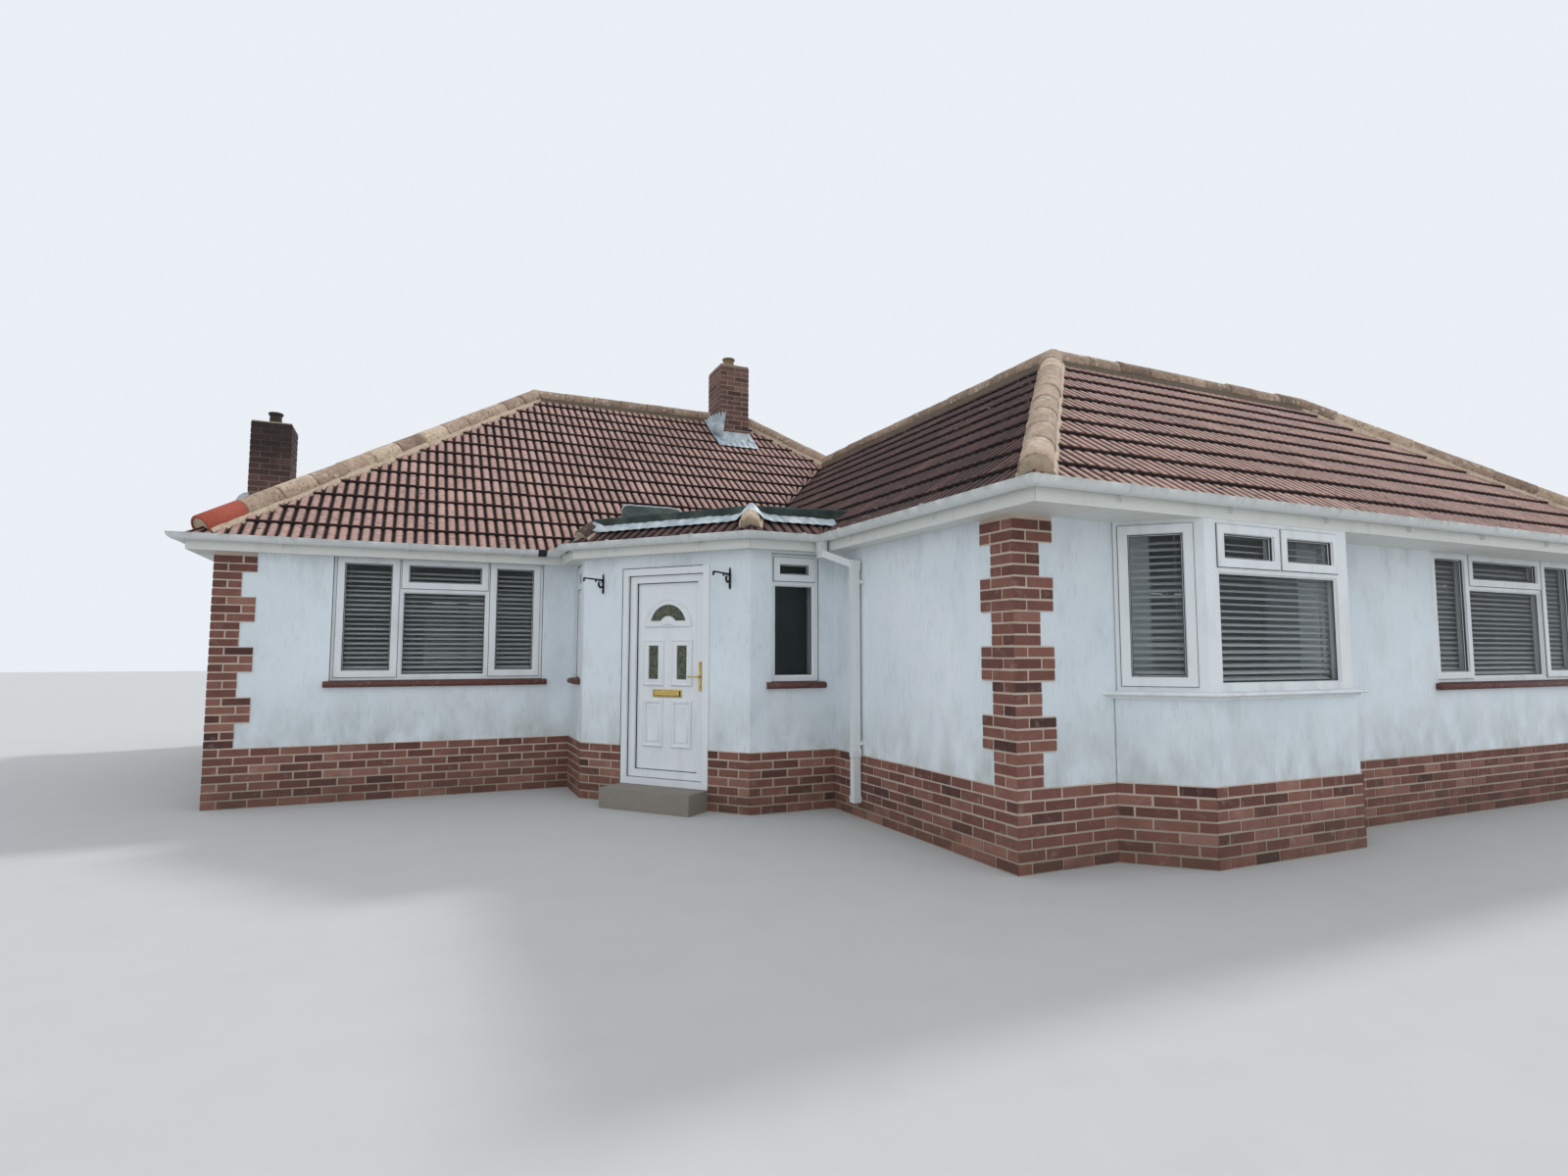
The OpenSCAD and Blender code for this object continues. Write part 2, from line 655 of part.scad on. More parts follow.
// Runs: [slope they lie on, start, end, mitres left and right of the start, the same of the end]
ridge_runs = [
    [MAIN_FRONT, ridge_left, ridge_right, [ridge_mitre, ridge_mitre], [ridge_mitre, ridge_mitre]],
    [MAIN_LEFT, eave(6), ridge_left, [square_end, square_end], [hip_mitre, ridge_mitre]],
    [MAIN_BACK, eave(5), ridge_left, [square_end, square_end], [ridge_mitre, hip_mitre]],
    [COURTYARD, eave(4), ridge_right, [square_end, square_end], [hip_mitre, ridge_mitre]],
    [COURTYARD, ridge_right, valley_top, [hip_mitre, ridge_mitre], [bend_mitre, ridge_mitre]],
    [LINK, valley_top, wing_ridge_left, [bend_mitre, ridge_mitre], [hip_mitre, ridge_mitre]],
    [WING_FRONT, eave(0), wing_ridge_left, [square_end, square_end], [ridge_mitre, ridge_mitre]],
    [WING_FRONT, wing_ridge_left, wing_ridge_right, [hip_mitre, ridge_mitre], [ridge_mitre, ridge_mitre]],
    [WING_FRONT, eave(1), wing_ridge_right, [square_end, square_end], [ridge_mitre, hip_mitre]],
    [WING_END, eave(2), wing_ridge_right, [square_end, square_end], [hip_mitre, ridge_mitre]]];
module ridge_run(run) {
    p = run[1];
    q = run[2];
    u = (q - p) / norm(q - p);
    side = 1.2 * ridge_r * [-u.y, u.x];
    reach = 1.2 * ridge_r * u;
    p0 = p + (run[3][0] == square_end ? hip_foot : joint) * u;
    q0 = q - joint * u;
    plane = roof_plane(run[0]);
    intersection() {
        rod([p.x, p.y, height(plane, p) - ridge_drop], [q.x, q.y, height(plane, q) - ridge_drop], ridge_r);
        prism([p0, p0 + reach / tan(run[3][1]) - side, q0 - reach / tan(run[4][1]) - side,
               q0, q0 - reach / tan(run[4][0]) + side, p0 + reach / tan(run[3][0]) + side], 0, far / 4);
    }
}
// The built-up roof below the tiles of a block whose slopes are given
module roof_body(slopes) { intersection_for(i = slopes) below(roof_plane(i), fit - tile_relief); }
module ridge_tiles() {
    color("#a58f7c") place() difference() {
        for (run = ridge_runs) ridge_run(run);
        roof_body([MAIN_FRONT, MAIN_BACK, MAIN_LEFT, COURTYARD]);
        roof_body([LINK, COURTYARD, WING_FRONT]);
        roof_body([WING_FRONT, WING_BACK, WING_END, LINK]);
        right_stack_block();
    }
}

// Eaves

module fascia_boards() {
    color(white) place() difference() {
        for (i = [0 : 10]) eave_strip(i, 0, -fascia_t, soffit_z, soffit_z + fascia_h, joint / 2);
        left_stack_clear();
    }
}
module soffit_boards() {
    o = overhang;
    color(white) place() difference() {
        for (i = [0 : 10]) {
            p = wrap(walls, i - 1);
            n = wrap(walls, i + 1);
            back = fit - render_set;
            strip(walls, i, [o[p] - fascia_t, back], [o[i] - fascia_t, back],
                  [o[n] - fascia_t, back], soffit_z, soffit_z + soffit_t, joint / 2);
        }
        left_stack_clear();
    }
}
gutter_z = 1885;
gutter_t = 3;
module gutter_profile() {
    difference() {
        circle(gutter_r, $fn = 48);
        circle(gutter_r - gutter_t, $fn = 48);
        translate([-2 * gutter_r, 0]) square(4 * gutter_r);
    }
}
module gutters() {
    color(white) place() difference() {
        for (i = [0 : 10]) intersection() {
            eave_strip(i, gutter_out, 0, gutter_z - 2 * gutter_r, gutter_z + gutter_r, joint / 2);
            on_wall(i) translate([-over_wing * 2, gutter_r - overhang[i] - gutter_out, gutter_z])
                rotate([90, 0, 90]) linear_extrude(wall_length(walls, i) + 4 * over_wing) gutter_profile();
        }
        left_stack_clear();
    }
}

// Downpipes: [wall, distance along it, distance along it of its outlet]
pipes = [[LINK, 460, 190], [MAIN_BACK, 450, 450], [WING_END, 3700, 3700], [MAIN_BACK, 9038, 9038]];
pipe_foot = -390;
pipe_top = 1640;
pipe_off = 12;
module downpipe(p) {
    y = -pipe_off - pipe_w / 2;
    out = -overhang[p[0]] - gutter_r - 4;
    on_wall(p[0]) {
        translate([p[1] - pipe_w / 2, y - pipe_w / 2, pipe_foot]) cube([pipe_w, pipe_w, pipe_top - pipe_foot]);
        difference() {
            bar([p[1], y, pipe_top - pipe_w / 2], [p[2], out, soffit_z - pipe_w / 3], pipe_w * 0.9);
            translate([-far / 2, -far / 2, soffit_z - joint]) cube(far);
        }
        translate([p[2] - pipe_w / 2, out - pipe_w / 2, soffit_z - pipe_w])
            cube([pipe_w, pipe_w, gutter_z - gutter_r - soffit_z + pipe_w - joint]);
        for (z = [84, 1444]) translate([p[1] - pipe_w, -pipe_off, z])
            cube([2 * pipe_w, pipe_off + render_set, 30]);
    }
}
module downpipes() { color(white) place() for (p = pipes) downpipe(p); }

// Chimneys

left_stack_x = -5420;
left_stack_y = 7790;
left_stack_d = 550;
breast_top = 2650;
right_stack_x = 606;
right_stack_y = 7170;
right_stack_d = 550;
shoulder_h = left_stack_x - left_x + breast_d;
module left_stack_block() {
    translate([left_stack_x, left_stack_y, soffit_z]) cube([stack_w, left_stack_d, left_stack_z - soffit_z]);
    translate([left_x - breast_d, left_stack_y, -plinth_h])
        cube([breast_d + render_set, left_stack_d, breast_top + plinth_h]);
}
// The breast with room round it, where the eaves stop on each side
module left_stack_clear() {
    translate([left_x - breast_d - 4 * joint, left_stack_y - 4 * joint, soffit_z - course])
        cube([breast_d + 8 * joint, left_stack_d + 8 * joint, breast_top]);
}
module right_stack_block() {
    translate([right_stack_x, right_stack_y, ceiling_z + ceiling_t])
        cube([stack_w, right_stack_d, right_stack_z - ceiling_z - ceiling_t]);
}
module left_chimney() {
    color(brick) place() difference() {
        left_stack_block();
        even_strip(walls, MAIN_LEFT, 0, -wall_t, -plinth_h, 0);
    }
}
module right_chimney() { color(brick) place() right_stack_block(); }

flaunch_h = 45;
pot_h = 150;
pot_r = 85;
pot_cap_h = 25;
pot_cap_r = 98;
module pot(x, y, z) {
    translate([x - stack_w / 2, y - left_stack_d / 2, z]) cube([stack_w, left_stack_d, flaunch_h]);
    translate([x, y, z]) cylinder(h = flaunch_h + pot_h, r = pot_r, $fn = 48);
    translate([x, y, z + flaunch_h + pot_h - pot_cap_h]) cylinder(h = pot_cap_h, r = pot_cap_r, $fn = 48);
}
module chimney_pots() {
    color("#b59a83") place() {
        pot(left_stack_x + stack_w / 2, left_stack_y + left_stack_d / 2, left_stack_z);
        pot(right_stack_x + stack_w / 2, right_stack_y + right_stack_d / 2, right_stack_z);
    }
}

// Lead: weathering on the breast's shoulder, an apron below the right stack, the flat roof's edge

apron_run = 330;
lead_t = 6;
lead_side = 90;
roll_w = 46;
roll_h = 22;
function roll_back(i) = line_beside(walls, i, -cap_in - roll_w);
module deck_edge_roll() {
    intersection() {
        prism([deck_left, cap_left, cap_right, deck_right,
               meet(seam(roof_plane(LINK), deck_plane), roll_back(PORCH_RIGHT)),
               meet(roll_back(PORCH_RIGHT), roll_back(PORCH_DOOR)),
               meet(roll_back(PORCH_DOOR), roll_back(PORCH_LEFT)),
               meet(seam(roof_plane(MAIN_FRONT), deck_plane), roll_back(PORCH_LEFT))], 0, far / 4);
        layer(deck_plane, roll_h, roll_h - fit);
    }
}
module lead_flashings() {
    color(lead) place() {
        translate([left_stack_x - shoulder_h, left_stack_y, breast_top]) difference() {
            cube([shoulder_h, left_stack_d, shoulder_h]);
            translate([0, -1, shoulder_h]) rotate([-90, 180, 0])
                cylinder(h = left_stack_d + 2, r = shoulder_h * 0.75, $fn = 48);
        }
        intersection() {
            translate([right_stack_x - lead_side, right_stack_y - apron_run, 0])
                cube([stack_w + 2 * lead_side, apron_run, far / 4]);
            layer(roof_plane(MAIN_FRONT), lead_t, tile_relief + lead_t - fit);
        }
        deck_edge_roll();
    }
}

// Front door: the frame stands flush with the wall, its rebate behind a stop

door_s = 475;
door_z = -345;
stop_face = 65;
stop_top = 70;
stop_foot = 60;
stop_d = 22;
seat = 5;
lap = 8;
frame_back = stop_d + seat + leaf_t;
leaf_x0 = stop_face - lap;
leaf_x1 = door_w - stop_face + lap;
leaf_z0 = stop_foot - lap;
leaf_z1 = door_h - stop_top + lap;
module at_door() { on_wall(PORCH_DOOR, door_s) translate([0, 0, door_z]) children(); }
module door_frame() {
    color(white) place() at_door() difference() {
        translate([0, -render_set / 2, 0]) cube([door_w, frame_back + render_set / 2, door_h]);
        translate([stop_face, -far / 2, stop_foot])
            cube([door_w - 2 * stop_face, far, door_h - stop_foot - stop_top]);
        translate([leaf_x0 - leaf_gap, stop_d, leaf_z0 - leaf_gap])
            cube([leaf_x1 - leaf_x0 + 2 * leaf_gap, far, leaf_z1 - leaf_z0 + 2 * leaf_gap]);
    }
}
step_run = 300;
step_h = plinth_h + door_z - joint;
module door_step() {
    color("#8d857a") place() on_wall(PORCH_DOOR, door_s) translate([0, -step_run, -plinth_h])
        cube([door_w, step_run, step_h]);
}

// Leaf: a stile and rail ring round a moulded panel with a sunburst light

ring_w = 78;
panel_in = 35;
panel_t = 24;
leaf_y = stop_d + seat;
panel_y = leaf_y + panel_in;
mid_x = door_w / 2;
fan_z = 1440;
fan_r = 204;
fan_rim = 250;
fan_rail = 46;
boss_r = 90;
pane_w = 116;
pane_h = 316;
pane_z = 951;
pane_x = 156;
lower_w = 205;
lower_h = 415;
lower_z = 345;
rim = 49;
raise = 10;
module across(x, y0, y1) { translate([x, y1, 0]) rotate([90, 0, 0]) linear_extrude(y1 - y0) children(); }
module half_disc(r) {
    intersection() { circle(r, $fn = 96); translate([-r, 0]) square([2 * r, r]); }
}
module fan_light_shape() {
    intersection() {
        difference() { half_disc(fan_r); circle(boss_r, $fn = 64); }
        translate([-fan_r, fan_rail]) square([2 * fan_r, fan_r]);
    }
}
module door_lights(y0, y1) {
    translate([0, 0, fan_z]) across(mid_x, y0, y1) fan_light_shape();
    for (side = [-1, 1]) translate([mid_x + side * pane_x - pane_w / 2, y0, pane_z])
        cube([pane_w, y1 - y0, pane_h]);
}
module lower_panel(x) {
    translate([x - lower_w / 2, panel_y - raise, lower_z]) difference() {
        cube([lower_w, raise + 1, lower_h]);
        translate([rim / 2, -1, rim / 2]) cube([lower_w - rim, raise + 1, lower_h - rim]);
    }
}
module door_leaf() {
    color(white) place() at_door() difference() {
        union() {
            difference() {
                translate([leaf_x0, leaf_y, leaf_z0]) cube([leaf_x1 - leaf_x0, leaf_t, leaf_z1 - leaf_z0]);
                translate([leaf_x0 + ring_w, leaf_y - 1, leaf_z0 + ring_w])
                    cube([leaf_x1 - leaf_x0 - 2 * ring_w, leaf_t + 2, leaf_z1 - leaf_z0 - 2 * ring_w]);
            }
            translate([leaf_x0 + ring_w, panel_y, leaf_z0 + ring_w])
                cube([leaf_x1 - leaf_x0 - 2 * ring_w, panel_t, leaf_z1 - leaf_z0 - 2 * ring_w]);
            translate([0, 0, fan_z]) across(mid_x, panel_y - raise, panel_y + 1) half_disc(fan_rim);
            for (side = [-1, 1]) {
                translate([mid_x + side * pane_x - pane_w / 2 - rim, panel_y - raise, pane_z - rim])
                    cube([pane_w + 2 * rim, raise + 1, pane_h + 2 * rim]);
                lower_panel(mid_x + side * pane_x);
            }
        }
        door_lights(-1, leaf_y + leaf_t + 1);
    }
}
module door_glass() { color("#7c8f93", 0.5) place() at_door() door_lights(panel_y, panel_y + panel_t); }
plate_x = 853;
plate_w = 32;
plate_t = 7;
plate_z = 855;
plate_h = 265;
lever_z = 985;
lever_reach = 30;
lever_r = 8;
lever_l = 120;
module handle(y, out) {
    translate([plate_x - plate_w / 2, min(y, y + out * plate_t), plate_z]) cube([plate_w, plate_t, plate_h]);
    rod([plate_x, y, lever_z], [plate_x, y + out * (plate_t + lever_reach), lever_z], lever_r);
    rod([plate_x + lever_r, y + out * (plate_t + lever_reach), lever_z],
        [plate_x - lever_l, y + out * (plate_t + lever_reach), lever_z], lever_r);
}
module door_handles() {
    color(brass) place() at_door() { handle(leaf_y, -1); handle(leaf_y + leaf_t, 1); }
}
slot_w = 317;
slot_h = 72;
slot_z = 791;
module letter_plate() {
    color(brass) place() at_door() {
        translate([mid_x - slot_w / 2, panel_y - plate_t, slot_z]) cube([slot_w, plate_t, slot_h]);
        translate([mid_x - slot_w / 2 + 20, panel_y - plate_t - 4, slot_z + 14]) cube([slot_w - 40, 5, slot_h - 28]);
    }
}
// Hinges on the inside face: the pin line is the axis that the leaf turns about
pin_x = leaf_x0 - 4;
pin_y = frame_back + 12;
knuckle_r = 7;
knuckle_h = 40;
hinge_t = 3;
hinge_zs = [250, 950, 1650];
module knuckle(z) { translate([pin_x, pin_y, z]) cylinder(h = knuckle_h, r = knuckle_r, $fn = 32); }
module frame_hinges() {
    color(lead) place() at_door() for (z = hinge_zs) {
        knuckle(z);
        translate([8, frame_back, z]) cube([pin_x - 8, hinge_t, knuckle_h]);
        translate([pin_x - knuckle_r, frame_back, z]) cube([hinge_t, pin_y - frame_back, knuckle_h]);
    }
}
module leaf_hinges() {
    color(lead) place() at_door() for (z = hinge_zs) {
        knuckle(z + knuckle_h + 5);
        translate([leaf_x0 + 3, frame_back, z + knuckle_h + 5]) cube([45, hinge_t, knuckle_h]);
        translate([pin_x + knuckle_r - hinge_t, frame_back, z + knuckle_h + 5])
            cube([hinge_t, pin_y - frame_back, knuckle_h]);
    }
}

// Iron brackets for hanging baskets beside the door

bracket_s = [235, 1640];
bracket_z = 1410;
bracket_h = 195;
bracket_arm = 280;
bracket_arm_z = 1539;
iron_w = 12;
iron_t = 5;
scroll_r = 38;
scroll_w = 8;
module lamp_brackets() {
    color(dark) place() for (s = bracket_s) on_wall(PORCH_DOOR, s) {
        translate([-10, 0, bracket_z]) cube([20, render_set, bracket_h]);
        translate([-iron_w / 2, -bracket_arm, bracket_arm_z]) cube([iron_w, bracket_arm + 1, iron_w]);
        translate([-iron_w / 2, -bracket_arm, bracket_arm_z - 30]) cube([iron_w, iron_t, 30 + iron_w]);
        translate([-scroll_w / 2, 3 - scroll_r, bracket_arm_z + 3 - scroll_r]) rotate([90, 0, 90])
            linear_extrude(scroll_w) rotate(225) difference() {
                circle(scroll_r, $fn = 48);
                circle(scroll_r - iron_t, $fn = 48);
            }
    }
}

floor_slab();
ceiling();
front_plinth();
wing_plinth();
rear_plinth();
main_front_wall();
main_left_wall();
main_back_wall();
courtyard_wall();
wing_back_wall();
wing_end_wall();
wing_front_wall();
wing_corner_wall();
bay_beam();
bay_wall();
link_wall();
porch_left_wall();
porch_right_wall();
porch_head_wall();
brick_quoins();
main_window();
wing_window();
porch_windows();
bay_window();
rear_windows();
window_glass();
window_sills();
bay_sill();
window_blinds();
door_frame();
door_step();
frame_hinges();
door_leaf();
door_glass();
door_handles();
letter_plate();
leaf_hinges();
lamp_brackets();
fascia_boards();
soffit_boards();
gutters();
downpipes();
main_front_slope();
main_left_slope();
main_back_slope();
main_right_slope();
wing_back_slope();
wing_end_slope();
wing_front_slope();
link_slope();
ridge_tiles();
porch_apron();
porch_flat_roof();
lead_flashings();
left_chimney();
right_chimney();
chimney_pots();
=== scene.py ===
import math

import bpy
import numpy as np
from mathutils import Matrix, Vector


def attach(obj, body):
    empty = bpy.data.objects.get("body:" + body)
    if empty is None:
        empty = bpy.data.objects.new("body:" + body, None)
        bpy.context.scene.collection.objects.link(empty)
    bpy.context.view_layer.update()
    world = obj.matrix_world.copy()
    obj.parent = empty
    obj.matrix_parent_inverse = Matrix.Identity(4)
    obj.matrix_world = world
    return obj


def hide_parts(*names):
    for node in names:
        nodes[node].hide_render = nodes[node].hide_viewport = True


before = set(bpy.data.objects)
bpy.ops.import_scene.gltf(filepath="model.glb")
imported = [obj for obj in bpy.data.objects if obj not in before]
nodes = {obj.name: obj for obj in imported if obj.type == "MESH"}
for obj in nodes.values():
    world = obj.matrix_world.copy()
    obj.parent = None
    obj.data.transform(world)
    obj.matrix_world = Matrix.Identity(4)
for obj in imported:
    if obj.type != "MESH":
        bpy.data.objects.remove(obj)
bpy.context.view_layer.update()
print("frame loaded:", len(nodes), "nodes")

# The house's own lines, in metres from the wing's front left corner at the top of the plinth
house = {
    "origin": (1.420, 5.337, -0.525),
    "walls": [(0, 0), (8.1, 0), (8.1, 4.14), (4.38, 4.14), (4.38, 10.914), (-5.108, 10.914),
              (-5.108, 4.556), (-1.982, 4.556), (-1.982, 3.867), (-0.819, 2.430), (0, 2.430)],
    "overhang": [0.4, 0.16, 0.16, 0.16, 0.16, 0.2, 0.1, 0.118, 0.118, 0.118, 0.16],
    "bay": [(0.834, 0), (1.253, -0.419), (2.771, -0.419), (3.190, 0)],
    "pitch": math.radians(38.3),
    "tileZ": 1.906,
    "soffitZ": 1.751,
    "plinth": 0.525,
    "deckZ": 2.101,
    "deckRise": 0.03,
    "deckStart": 0.2,
    "capIn": 0.096,
    "ridgeDrop": 0.020,
}
wingFront, wingEnd, wingBack, courtyard, mainBack, mainLeft, mainFront = range(7)
porchLeft, porchDoor, porchRight, link = range(7, 11)
walls = np.array(house["walls"], float)
bay = np.array(house["bay"], float)
sinPitch, cosPitch = math.sin(house["pitch"]), math.cos(house["pitch"])


# From the house's own lines to the frame
def placed(points):
    return np.asarray(points, float) - np.array(house["origin"])


def placedAt(x, y, z):
    return placed(np.stack(np.broadcast_arrays(x, y, z), -1))


# The unit vector along a wall, from its corner to the next one's
def direction(loop, i):
    step = loop[(i + 1) % len(loop)] - loop[i]
    return step / np.linalg.norm(step)


# The unit vector out of a wall: its direction turned a quarter clockwise
def outward(loop, i):
    d = direction(loop, i)
    return np.array([d[1], -d[0]])


def wallLength(loop, i):
    return float(np.linalg.norm(loop[(i + 1) % len(loop)] - loop[i]))


# A point beside a wall: s runs along it, y inwards from its brick face, z up
def onWall(i, s, y, z, loop=walls):
    d, out = direction(loop, i), outward(loop, i)
    s, y, z = np.broadcast_arrays(np.asarray(s, float), np.asarray(y, float), np.asarray(z, float))
    flat = loop[i] + s[..., None] * d - y[..., None] * out
    return placed(np.concatenate([flat, z[..., None]], axis=-1))


# A point on a roof slope: u runs along the eave, v up the slope from the eave line, h off the tiles' plane
def onSlope(i, u, v, h):
    inside = v * cosPitch - h * sinPitch - house["overhang"][i]
    return onWall(i, u, inside, house["tileZ"] + v * sinPitch + h * cosPitch)


# A line a x + b y + c = 0 parallel to a wall, a way out from it
def lineBeside(i, out):
    n = outward(walls, i)
    return np.array([n[0], n[1], -(n @ walls[i] + out)])


# Where two lines cross, by the rule of determinants
def meetLines(p, q):
    return np.array([p[1] * q[2] - q[1] * p[2], q[0] * p[2] - p[0] * q[2]]) / (p[0] * q[1] - q[0] * p[1])


# The plane z = a x + b y + c that starts at z, a way out from a wall, and rises inwards
def planeFrom(i, out, z, rise):
    n = outward(walls, i)
    return np.array([-rise * n[0], -rise * n[1], z + rise * (n @ walls[i] + out)])


def roofPlane(i):
    return planeFrom(i, house["overhang"][i], house["tileZ"], math.tan(house["pitch"]))


def heightOn(plane, point):
    return plane[0] * point[..., 0] + plane[1] * point[..., 1] + plane[2]


# Three slopes meet where the seams of two pairs of them cross
def roofPoint(i, j, k):
    return meetLines(roofPlane(i) - roofPlane(j), roofPlane(j) - roofPlane(k))


# The eaves' corner where a wall starts, or a point beyond it on the mitre
def eavePoint(i, beyond=0):
    return meetLines(*(lineBeside(k, house["overhang"][k] + beyond) for k in (i - 1, i)))


deckPlane = planeFrom(porchDoor, -house["deckStart"], house["deckZ"], house["deckRise"])
capping = {i: lineBeside(i, -house["capIn"]) for i in (porchLeft, porchDoor, porchRight)}
roof = {
    "ridgeLeft": roofPoint(mainFront, mainLeft, mainBack),
    "ridgeRight": roofPoint(mainFront, courtyard, mainBack),
    "valleyTop": roofPoint(mainFront, link, courtyard),
    "wingRidgeLeft": roofPoint(wingFront, link, courtyard),
    "wingRidgeRight": roofPoint(wingFront, wingEnd, wingBack),
    "apronLeft": meetLines(roofPlane(mainFront) - roofPlane(porchLeft), capping[porchLeft]),
    "apronRight": meetLines(roofPlane(link) - roofPlane(porchRight), capping[porchRight]),
    "deckLeft": meetLines(roofPlane(mainFront) - deckPlane, capping[porchLeft]),
    "deckRight": meetLines(roofPlane(link) - deckPlane, capping[porchRight]),
    "deckBack": meetLines(roofPlane(link) - deckPlane, roofPlane(mainFront) - deckPlane),
    "capLeft": meetLines(capping[porchLeft], capping[porchDoor]),
    "capRight": meetLines(capping[porchDoor], capping[porchRight]),
}
for i in range(len(walls)):
    roof["eave%d" % i] = eavePoint(i)


# Points, faces and face tones gathered for one piece, with a value at each point, deep, that the tile and
# ridge finishes turn into painted shade and painted highlight
class Form:
    def __init__(self):
        self.points, self.faces, self.tones, self.deeps, self.count = [], [], [], [], 0

    def add(self, points, faces, tone=0.5, deep=0.5):
        points = np.asarray(points, float).reshape(-1, 3)
        faces = np.asarray(faces, int).reshape(-1, 4)
        self.points.append(points)
        self.faces.append(faces + self.count)
        self.tones.append(np.broadcast_to(np.asarray(tone, float), (len(faces),)))
        self.deeps.append(np.broadcast_to(np.asarray(deep, float).reshape(-1), (len(points),)))
        self.count += len(points)

    # A sheet of rows x columns points, joined round where it is closed
    def sheet(self, points, tone=0.5, deep=0.5, closedRows=False, closedColumns=False, flip=False):
        rows, columns = points.shape[:2]
        r = np.arange(rows if closedRows else rows - 1)
        c = np.arange(columns if closedColumns else columns - 1)
        r, c = np.meshgrid(r, c, indexing="ij")
        down, right = (r + 1) % rows, (c + 1) % columns
        quads = np.stack([r * columns + c, r * columns + right, down * columns + right, down * columns + c], -1)
        quads = quads.reshape(-1, 4)
        if np.ndim(tone) == 2:
            tone = np.asarray(tone)[: r.shape[0], : r.shape[1]].reshape(-1)
        self.add(points, quads[:, ::-1] if flip else quads, tone, deep)


# Puts a form into a mesh: points that coincide become one, and faces left without area go
def makePiece(name, form, finish, body="house", replaced=(), sharp=35.0):
    points, faces = np.concatenate(form.points), np.concatenate(form.faces)
    tones, deeps = np.concatenate(form.tones), np.concatenate(form.deeps)
    keys = np.round(points * 2e4).astype(np.int64)
    _, first, inverse = np.unique(keys, axis=0, return_index=True, return_inverse=True)
    faces = inverse.reshape(-1)[faces]
    points, deeps = points[first], deeps[first]
    same = faces == np.roll(faces, -1, axis=1)
    crossed = (faces[:, 0] == faces[:, 2]) | (faces[:, 1] == faces[:, 3])
    whole = ~same.any(axis=1) & ~crossed
    lean = (same.sum(axis=1) == 1) & ~crossed
    at = same[lean].argmax(axis=1)
    turned = np.take_along_axis(faces[lean], (at[:, None] + np.arange(1, 5)) % 4, axis=1)[:, :3]
    mesh = bpy.data.meshes.new(name)
    mesh.from_pydata(points.tolist(), [], faces[whole].tolist() + turned.tolist())
    mesh.attributes.new("tone", "FLOAT", "FACE").data.foreach_set(
        "value", np.concatenate([tones[whole], tones[lean]]).astype(np.float32))
    mesh.attributes.new("deep", "FLOAT", "POINT").data.foreach_set("value", deeps.astype(np.float32))
    mesh.polygons.foreach_set("use_smooth", np.ones(len(mesh.polygons), bool))
    mesh.set_sharp_from_angle(angle=math.radians(sharp))
    mesh.update()
    piece = bpy.data.objects.new(name, mesh)
    bpy.context.scene.collection.objects.link(piece)
    mesh.materials.append(finishes[finish])
    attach(piece, body)
    if replaced:
        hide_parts(*replaced)
    print("piece", name, len(mesh.polygons), "faces")


# Boxes beside a wall, given as arrays of s, y and z spans
def addBoxes(form, place, s0, s1, y0, y1, z0, z1, tone=0.5):
    spans = [np.atleast_1d(np.asarray(x, float)) for x in (s0, s1, y0, y1, z0, z1)]
    s0, s1, y0, y1, z0, z1 = np.broadcast_arrays(*spans)
    s = np.stack([s0, s1, s1, s0, s0, s1, s1, s0], -1)
    y = np.stack([y0, y0, y1, y1, y0, y0, y1, y1], -1)
    z = np.stack([z0, z0, z0, z0, z1, z1, z1, z1], -1)
    quads = np.array([[3, 2, 1, 0], [4, 5, 6, 7], [0, 1, 5, 4], [1, 2, 6, 5], [2, 3, 7, 6], [3, 0, 4, 7]])
    n = len(s0)
    faces = (quads[None] + 8 * np.arange(n)[:, None, None]).reshape(-1, 4)
    tones = np.repeat(np.broadcast_to(np.asarray(tone, float), (n,)), 6)
    form.add(place(s, y, z), faces, tones)


# A flat frame round a hole, from its outer to its inner edge, with a front and a back
def addRing(form, place, s0, s1, z0, z1, outer, inner):
    across = np.array([outer[0], inner[0], inner[0], outer[0]])
    deep = np.array([outer[1], inner[1], inner[2], outer[2]])
    corners = np.array([[s0, z0, 1, 1], [s1, z0, -1, 1], [s1, z1, -1, -1], [s0, z1, 1, -1]], float)
    s = corners[:, 0, None] + corners[:, 2, None] * across
    z = corners[:, 1, None] + corners[:, 3, None] * across
    deep = np.broadcast_to(deep, s.shape)
    form.sheet(place(s, deep, z), closedRows=True, closedColumns=True, flip=True)


# A round bar along a path of points, with its ends closed
def addBar(form, path, radius, sides):
    path = np.asarray(path, float)
    step = np.gradient(path, axis=0)
    step /= np.linalg.norm(step, axis=1, keepdims=True)
    up = np.where(np.abs(step[:, 2:3]) < 0.9, np.array([[0, 0, 1.0]]), np.array([[0.6, 0.8, 0.0]]))
    side = np.cross(step, up)
    side /= np.linalg.norm(side, axis=1, keepdims=True)
    top = np.cross(side, step)
    turn = np.linspace(0, 2 * np.pi, sides, endpoint=False)
    radius = np.broadcast_to(np.asarray(radius, float), (len(path),))
    circle = np.cos(turn)[None, :, None] * side[:, None] + np.sin(turn)[None, :, None] * top[:, None]
    ring = path[:, None] + radius[:, None, None] * circle
    ends = [np.repeat(path[:1, None], sides, 1), ring, np.repeat(path[-1:, None], sides, 1)]
    form.sheet(np.concatenate(ends), closedColumns=True, flip=True)


# Smooth random waves along numbers, from a few sines of unrelated lengths
def waves(x, seed, *lengths):
    phase = np.random.default_rng(seed).uniform(0, 2 * np.pi, len(lengths))
    return sum(np.sin(2 * np.pi * np.asarray(x) / l + p) for l, p in zip(lengths, phase)) / len(lengths)


